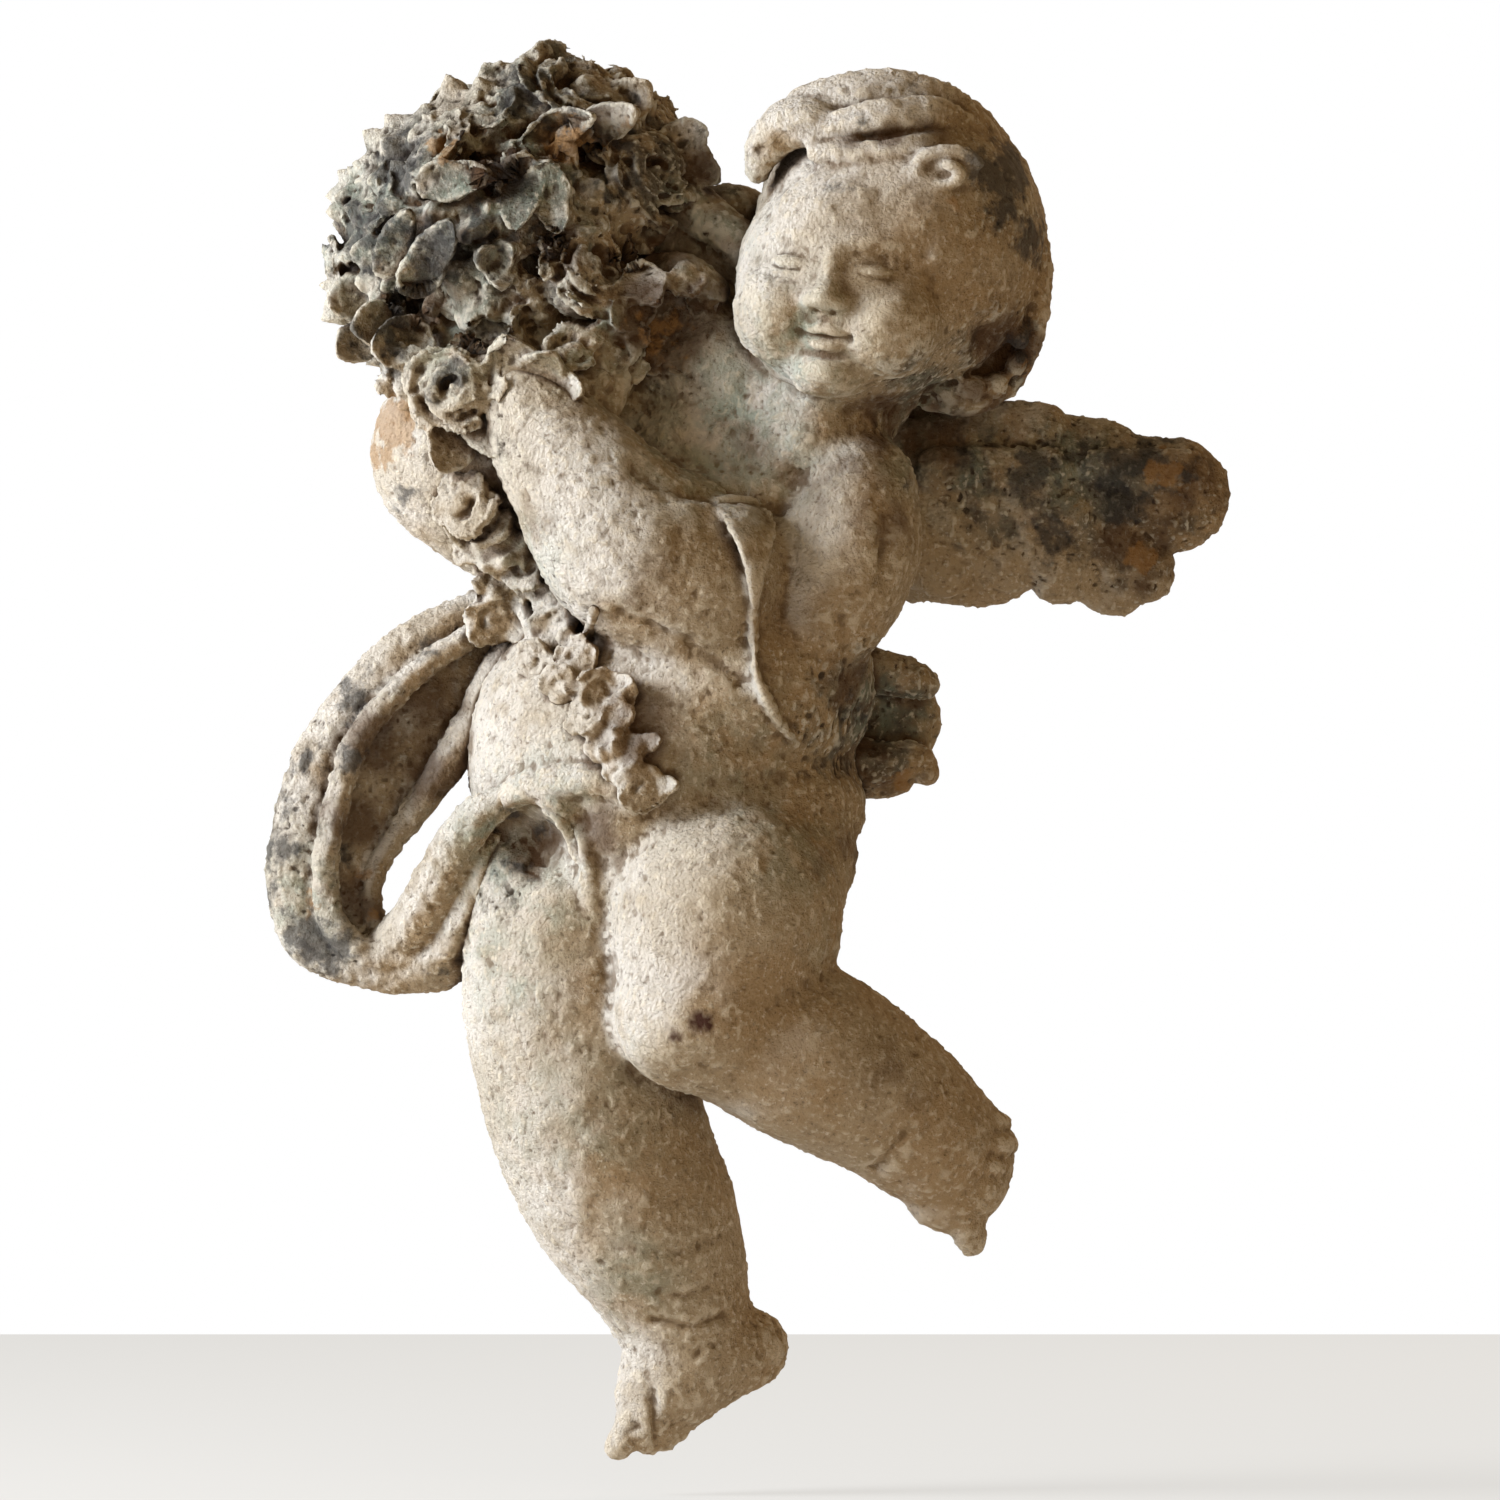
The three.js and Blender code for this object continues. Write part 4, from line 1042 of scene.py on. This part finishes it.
def distance_field(meshes):
    """A function that gives the distance from any points to the nearest stone, in millimetres, up to
    nine cells of the grid: positive in the open, negative inside the stone."""
    points, faces, start = [], [], 0
    for mesh in meshes:
        mesh.calc_loop_triangles()
        corners = np.empty(len(mesh.loop_triangles) * 3, np.int32)
        mesh.loop_triangles.foreach_get("vertices", corners)
        points.append(read_points(mesh))
        faces.append(corners.reshape(-1, 3) + start)
        start += len(mesh.vertices)
    grid = openvdb.FloatGrid.createLevelSetFromPolygons(
        np.vstack(points).astype(np.float32),
        triangles=np.vstack(faces).astype(np.uint32),
        transform=openvdb.createLinearTransform(voxelSize=ROOM_VOXEL),
        halfWidth=9.0,
    )
    first, last = (np.array(corner) for corner in grid.evalActiveVoxelBoundingBox())
    cells = np.zeros(tuple(last - first + 1), np.float32)
    grid.copyToArray(cells, ijk=tuple(int(k) for k in first))
    most = np.array(cells.shape) - 2

    def distance(at):
        """Read off the grid: the mean of the eight cells round a point, each by how near it is."""
        q = at / ROOM_VOXEL - first
        corner = np.clip(np.floor(q).astype(int), 0, most)
        f = np.clip(q - corner, 0, 1)
        total = np.zeros(len(at))
        for dx in (0, 1):
            for dy in (0, 1):
                for dz in (0, 1):
                    weight = (f[:, 0] if dx else 1 - f[:, 0]) * (f[:, 1] if dy else 1 - f[:, 1])
                    weight = weight * (f[:, 2] if dz else 1 - f[:, 2])
                    total += weight * cells[corner[:, 0] + dx, corner[:, 1] + dy, corner[:, 2] + dz]
        return total

    return distance


def keep_marks(mesh, distance):
    """Works out what the stone's colours follow and keeps it on the mesh. A place is enclosed where,
    a few millimetres out along its normal, other stone is nearer than that many millimetres; the
    material paints shade there. A small hollow lies below the mean of its neighbourhood; the material
    paints it darker with soil and painted shade. The lit side is painted light: pale where a side
    faces the key light, which comes from the figure's right and above, and brown painted shade where
    it faces away. The patches of growth, stain, soil and painted shade come after."""
    points, normals, edges = read_points(mesh), read_normals(mesh), read_edges(mesh)
    broad_normals = unit(melted(normals, edges, 6))
    # how enclosed each place is: the material paints shade by it
    enclosed = np.zeros(len(points))
    for reach, weight in ((3.0, 0.25), (6.0, 0.3), (11.0, 0.27), (17.0, 0.18)):
        room = distance(points + broad_normals * reach)
        enclosed += weight * np.clip(1 - room / reach, 0, 1.3)
    store(mesh, "enclosed", enclosed)
    # how far each place lies below its neighbourhood: the material paints soil and shade in it
    below = np.einsum("ij,ij->i", melted(points, edges, 4) - points, broad_normals)
    store(mesh, "hollow", 0.5 + below * 0.7)
    for name, (spots, seed) in PATCH_MARKS.items():
        store(mesh, name, patches(points, spots, seed))
    chip = np.zeros(len(points))
    for x, z, radius, strength in CHIPS:
        far = np.linalg.norm(points[:, [0, 2]] - (x, z), axis=1)
        chip = np.maximum(chip, strength * smoothstep(radius, radius * 0.7, far + 1.5 * noise(points, 4, 9)))
    store(mesh, "chip", chip * smoothstep(-60.0, -80.0, points[:, 1]))
    store(mesh, "behind", smoothstep(-10.0, -0.5, points[:, 1]))
    # the lit side, painted light: how far the broad normal turns to the key light, with noise and the painted lit
    # patches added
    facing = broad_normals @ unit(np.array([-0.9, -0.1, 0.34]))
    facing += 0.16 * noise(points, 18, 71) + patches(points, LIT_PATCHES, 66)
    store(mesh, "lit_side_paint", smoothstep(-0.25, 0.75, facing))


# The stone

def linear(code):
    """An sRGB colour, given as six hex digits, as linear red, green and blue with full alpha."""
    values = [int(code[k : k + 2], 16) / 255 for k in (0, 2, 4)]
    return tuple(v / 12.92 if v <= 0.04045 else ((v + 0.055) / 1.055) ** 2.4 for v in values) + (1.0,)


def node(tree, kind, settings=None, links=None):
    """Adds one node: settings are its properties or its sockets' values, links its inputs' sources."""
    made = tree.nodes.new(kind)
    for key, value in (settings or {}).items():
        if isinstance(key, str) and hasattr(made, key):
            setattr(made, key, value)
        else:
            made.inputs[key].default_value = value
    for key, source in (links or {}).items():
        tree.links.new(source, made.inputs[key])
    return made


def limestone_with_painted_light():
    """Cast limestone, decades outdoors: a sandy, pitted crust that scatters light with no gloss, painted
    pale on the side that faces the key light and brown with painted shade on the side away from it,
    darker with soil and painted shade in the hollows and recesses, blue-green with algae in damp
    places, black with lichen on what faces the sky, and ochre where iron stains or a fresh break shows."""
    material = bpy.data.materials.new("limestone_with_painted_light")
    material.use_nodes = True
    tree = material.node_tree
    tree.nodes.clear()
    coords = node(tree, "ShaderNodeTexCoord").outputs["Object"]

    def cells(size, detail=2.0, roughness=0.55):
        """Noise whose features are about that many millimetres wide."""
        settings = {"Scale": 1 / (size * MM), "Detail": detail, "Roughness": roughness}
        return node(tree, "ShaderNodeTexNoise", settings, {"Vector": coords}).outputs["Fac"]

    def mark(name):
        """One of the numbers that keep_marks left on the mesh."""
        return node(tree, "ShaderNodeAttribute", {"attribute_name": name}).outputs["Fac"]

    def ramp(value, start, end):
        """0 to 1 as the value goes from start to end, by smoothstep."""
        settings = {"interpolation_type": "SMOOTHSTEP", 1: start, 2: end}
        return node(tree, "ShaderNodeMapRange", settings, {0: value}).outputs[0]

    def maths(operation, a, b):
        """The sum, difference or product of two values, each a number or another node's output."""
        made = tree.nodes.new("ShaderNodeMath")
        made.operation = operation
        for socket, value in zip(made.inputs, (a, b)):
            if isinstance(value, (int, float)):
                socket.default_value = value
            else:
                tree.links.new(value, socket)
        return made.outputs[0]

    def broken(name, grain, amount):
        """A mark whose edge is broken up by noise about its mean."""
        return maths("ADD", mark(name), maths("MULTIPLY", maths("SUBTRACT", grain, 0.5), amount))

    def mixed(under, over, share):
        """One colour laid over another by a share."""
        made = node(tree, "ShaderNodeMix", {"data_type": "RGBA", "blend_type": "MIX"}, {0: share})
        for socket, value in ((6, under), (7, over)):
            if isinstance(value, tuple):
                made.inputs[socket].default_value = value
            else:
                tree.links.new(value, made.inputs[socket])
        return made.outputs[2]

    broad, patchy, crust = cells(70, 3), cells(24, 4), cells(8, 5, 0.6)
    grit, sand = cells(2.6, 5, 0.65), cells(1.2, 4, 0.7)
    crusty = ramp(mark("aged"), 0.12, 0.4)
    # painted light: pale on the side that faces the key light, and brown painted shade on the side away from it
    colour = mixed(linear("a68e6c"), linear("dcd8d0"), ramp(mark("lit_side_paint"), 0.0, 1.0))
    # each coat over the last: its colour, where it lies and the most that it covers
    coats = [
        # faint tints of the stone itself
        ("b3a68e", ramp(broad, 0.4, 0.62), 0.5),
        ("8a7a62", ramp(crust, 0.5, 0.72), 0.45),
        ("9a8666", ramp(patchy, 0.52, 0.7), 0.45),
        # old dark crust, grey-brown, where the flowers, the wing and the scarf have never been rubbed
        ("57534a", ramp(broken("aged", crust, 1.2), 0.2, 0.8), 0.85),
        # algae
        ("8c9f92", maths("MULTIPLY", mark("verdigris"), ramp(cells(13, 4), 0.34, 0.6)), 0.7),
        # pale and dark grains of sand
        ("eae1d0", ramp(grit, 0.55, 0.7), 0.5),
        ("57493a", ramp(grit, 0.43, 0.32), 0.55),
        ("40362a", ramp(sand, 0.38, 0.26), 0.5),
        ("faf6ee", ramp(sand, 0.64, 0.76), 0.5),
        # soil and painted shade in small hollows, and rubbed high spots
        ("6a543a", ramp(mark("hollow"), 0.56, 0.95), 0.7),
        ("e6dcc6", ramp(mark("hollow"), 0.42, 0.1), 0.45),
        # the same, stronger, on the old crust: near-black painted shade in the gaps, and pale rims
        ("2c251e", maths("MULTIPLY", ramp(mark("hollow"), 0.54, 0.85), crusty), 0.8),
        ("cfcdc0", maths("MULTIPLY", ramp(mark("hollow"), 0.42, 0.15), crusty), 0.5),
        # painted shade in the deep recesses: brown, then near-black where most enclosed
        ("5e4429", ramp(mark("enclosed"), 0.24, 0.7), 0.7),
        ("251a12", ramp(mark("enclosed"), 0.55, 1.05), 0.8),
        # wet soil, and painted shade under the chin, behind the arm, in the garland's shadow and along the sides away
        # from the light
        ("553c25", ramp(broken("earth_and_shade", patchy, 0.9), 0.18, 0.75), 0.75),
        # lichen, and iron stain
        ("2f3134", ramp(broken("soot", cells(9, 5, 0.65), 1.7), 0.4, 0.85), 0.75),
        ("a37c4c", ramp(broken("ochre", cells(7, 4), 1.4), 0.5, 0.8), 0.62),
        # fresh chips, and the plain back
        ("4b2f24", mark("chip"), 1.0),
        ("8f8474", mark("behind"), 1.0),
    ]
    for code, where, most in coats:
        colour = mixed(colour, linear(code), maths("MULTIPLY", where, most))

    # grains of sand stand up as small domes; the softer noises under them are the crust
    settings = {"Scale": 1 / (2.3 * MM), "Randomness": 1.0}
    grains = node(tree, "ShaderNodeTexVoronoi", settings, {"Vector": coords}).outputs["Distance"]
    height = maths("ADD", maths("MULTIPLY", grit, 0.9), maths("MULTIPLY", sand, 0.6))
    height = maths("ADD", height, maths("MULTIPLY", crust, 0.6))
    height = maths("SUBTRACT", height, maths("MULTIPLY", grains, 0.3))
    bump = node(tree, "ShaderNodeBump", {"Strength": 1.0, "Distance": 3.8 * MM}, {"Height": height})
    shader = node(
        tree,
        "ShaderNodeBsdfPrincipled",
        {"Roughness": 0.94, "IOR": 1.5, "Specular IOR Level": 0.22},
        {"Base Color": colour, "Normal": bump.outputs[0]},
    )
    node(tree, "ShaderNodeOutputMaterial", None, {"Surface": shader.outputs[0]})
    return material


# Making the pieces

def finish_piece(name, mesh, material):
    """Puts a finished mesh in the scene as a piece that stands for the frame's solid."""
    mesh.materials.clear()
    mesh.materials.append(material)
    mesh.polygons.foreach_set("use_smooth", np.ones(len(mesh.polygons), bool))
    piece = bpy.data.objects.new(name, mesh)
    bpy.context.scene.collection.objects.link(piece)
    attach(piece, "root")
    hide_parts("putto")
    return piece


def worn(mesh, rounds, roughness, carve=False):
    """Melts a fused skin a little, cuts the face and the creases into it, weathers it, and lays whatever
    would be behind the wall on the wall's plane."""
    edges = read_edges(mesh)
    points = melted(read_points(mesh), edges, rounds)
    write_points(mesh, points)
    if carve:
        points = carve_face(points, read_normals(mesh))
        write_points(mesh, points)
    points = cut_creases(points, read_normals(mesh))
    write_points(mesh, points)
    rubbed = np.clip(1 - patches(points, RUBBED, 61), 0.4, 1)
    points = weathered(points, read_normals(mesh), rubbed * roughness)
    write_points(mesh, behind_wall_cut(points))
    return thinned(mesh, MOST_TRIANGLES)


def tree_of(points, quads):
    """A search tree of four-cornered faces, to find a skin's depth by looking at it from the front."""
    return BVHTree.FromPolygons([Vector(p) for p in points * MM], quads.tolist())


def make_figure():
    """Fuses the flesh on a coarse grid and melts the joins, and the head apart from it so that the crease
    under the chin stays, lays the smaller forms on both, and fuses again."""
    skins, quads, start = [], [], 0
    for name, shells in (("flesh", flesh()), ("head", head())):
        mass = fused(mesh_of(name, shells), FLESH_VOXEL)
        edges = read_edges(mass)
        skins.append(softened(melted(read_points(mass), edges, 6), edges, 4))
        quads.append(corners_of(mass) + start)
        start += len(skins[-1])
    skin = tree_of(np.vstack(skins), np.vstack(quads))
    details = mesh_of("details", toes_and_fingers() + hair() + loincloth(skin) + sash(skin))
    points = np.vstack([*skins, read_points(details)]) * MM
    faces = np.vstack([*quads, corners_of(details) + start])
    figure = fused(raw_mesh("figure", points, faces), SKIN_VOXEL)
    carrier = tree_of(read_points(figure), corners_of(figure))
    return worn(figure, 3, 0.85, carve=True), carrier


stone = limestone_with_painted_light()
figure, carrier = make_figure()
cloth = worn(fused(mesh_of("cloth", scarf_loop() + scarf_tail() + wing()), SKIN_VOXEL), 3, 1.0)
flowers = worn(fused(mesh_of("flowers", sheaf()), ROSE_VOXEL), 2, 0.75)
string = worn(fused(mesh_of("string", garland(carrier)), ROSE_VOXEL), 2, 0.55)
pieces = {"putto_figure": figure, "putto_scarf_and_wing": cloth, "putto_sheaf": flowers, "putto_garland": string}
room = distance_field(pieces.values())
for name, mesh in pieces.items():
    keep_marks(mesh, room)
    finish_piece(name, mesh, stone)


# The room: a pale floor below, soft light from the upper left, and the photograph's camera

def studio():
    """The floor, the lights and the white surroundings."""
    # metres: it lies just below the hanging foot, and reaches that far to the sides and behind the wall
    floor_level, half, back = low.z - 0.02, 3.0, 1.6
    mesh = bpy.data.meshes.new("floor")
    corners = [(-half, -half), (half, -half), (half, back), (-half, back)]
    mesh.from_pydata([(x, y, floor_level) for x, y in corners], [], [(0, 1, 2, 3)])
    floor = bpy.data.objects.new("floor", mesh)
    bpy.context.scene.collection.objects.link(floor)
    paint = bpy.data.materials.new("pale_floor")
    paint.use_nodes = True
    tree = paint.node_tree
    tree.nodes.clear()
    matt = node(tree, "ShaderNodeBsdfDiffuse", {"Color": linear("f2f1ee")})
    glow = node(tree, "ShaderNodeEmission", {"Color": linear("f4f4f2"), "Strength": 0.86})
    seen = node(tree, "ShaderNodeLightPath").outputs["Is Camera Ray"]
    shown = node(tree, "ShaderNodeMath", {"operation": "MULTIPLY", 1: 0.85}, {0: seen})
    both = node(tree, "ShaderNodeMixShader", None, {0: shown.outputs[0], 1: matt.outputs[0], 2: glow.outputs[0]})
    node(tree, "ShaderNodeOutputMaterial", None, {"Surface": both.outputs[0]})
    mesh.materials.append(paint)

    middle = Vector(((low.x + high.x) / 2, -0.1, (low.z + high.z) / 2))
    # name, metres from the middle of the figure, size in metres, power in watts, colour
    lights = [
        ("key", (-2.0, -0.52, 0.74), 1.0, 99, "f9fbff"),
        ("fill", (0.6, -2.3, 0.5), 1.6, 12, "ffd9a4"),
        ("rim", (1.0, 1.6, 1.2), 1.2, 18, "ffe2c2"),
    ]
    for name, offset, size, power, tint in lights:
        data = bpy.data.lights.new(name, "AREA")
        data.size = size
        data.energy = power
        data.color = linear(tint)[:3]
        lamp = bpy.data.objects.new(name, data)
        lamp.location = middle + Vector(offset)
        lamp.rotation_euler = (-Vector(offset)).to_track_quat("-Z", "Y").to_euler()
        bpy.context.scene.collection.objects.link(lamp)
    # the room is white to look at and gives the stone a dim warm light
    world = bpy.data.worlds.new("white_room")
    world.use_nodes = True
    tree = world.node_tree
    tree.nodes.clear()
    dim = node(tree, "ShaderNodeBackground", {"Color": linear("ffd8a2"), "Strength": 0.22})
    bright = node(tree, "ShaderNodeBackground", {"Color": linear("ffffff"), "Strength": 1.0})
    seen = node(tree, "ShaderNodeLightPath").outputs["Is Camera Ray"]
    both = node(tree, "ShaderNodeMixShader", None, {0: seen, 1: dim.outputs[0], 2: bright.outputs[0]})
    node(tree, "ShaderNodeOutputWorld", None, {"Surface": both.outputs[0]})
    bpy.context.scene.world = world
    bpy.context.scene.view_settings.view_transform = "Standard"


def camera():
    """The photograph's view: straight on, from far off, with 750 mm of the drawn scale across the frame."""
    distance, across, off_x, off_z, near = 6000.0, 750.0, 35.0, -55.0, 80.0
    data = bpy.data.cameras.new("camera")
    data.sensor_width = 36.0
    data.lens = data.sensor_width * distance / across
    data.clip_end = 100.0
    made = bpy.data.objects.new("camera", data)
    made.location = Vector((off_x, -(distance + near), off_z)) * MM
    made.rotation_euler = (math.pi / 2, 0, 0)
    bpy.context.scene.collection.objects.link(made)
    bpy.context.scene.camera = made


studio()
camera()
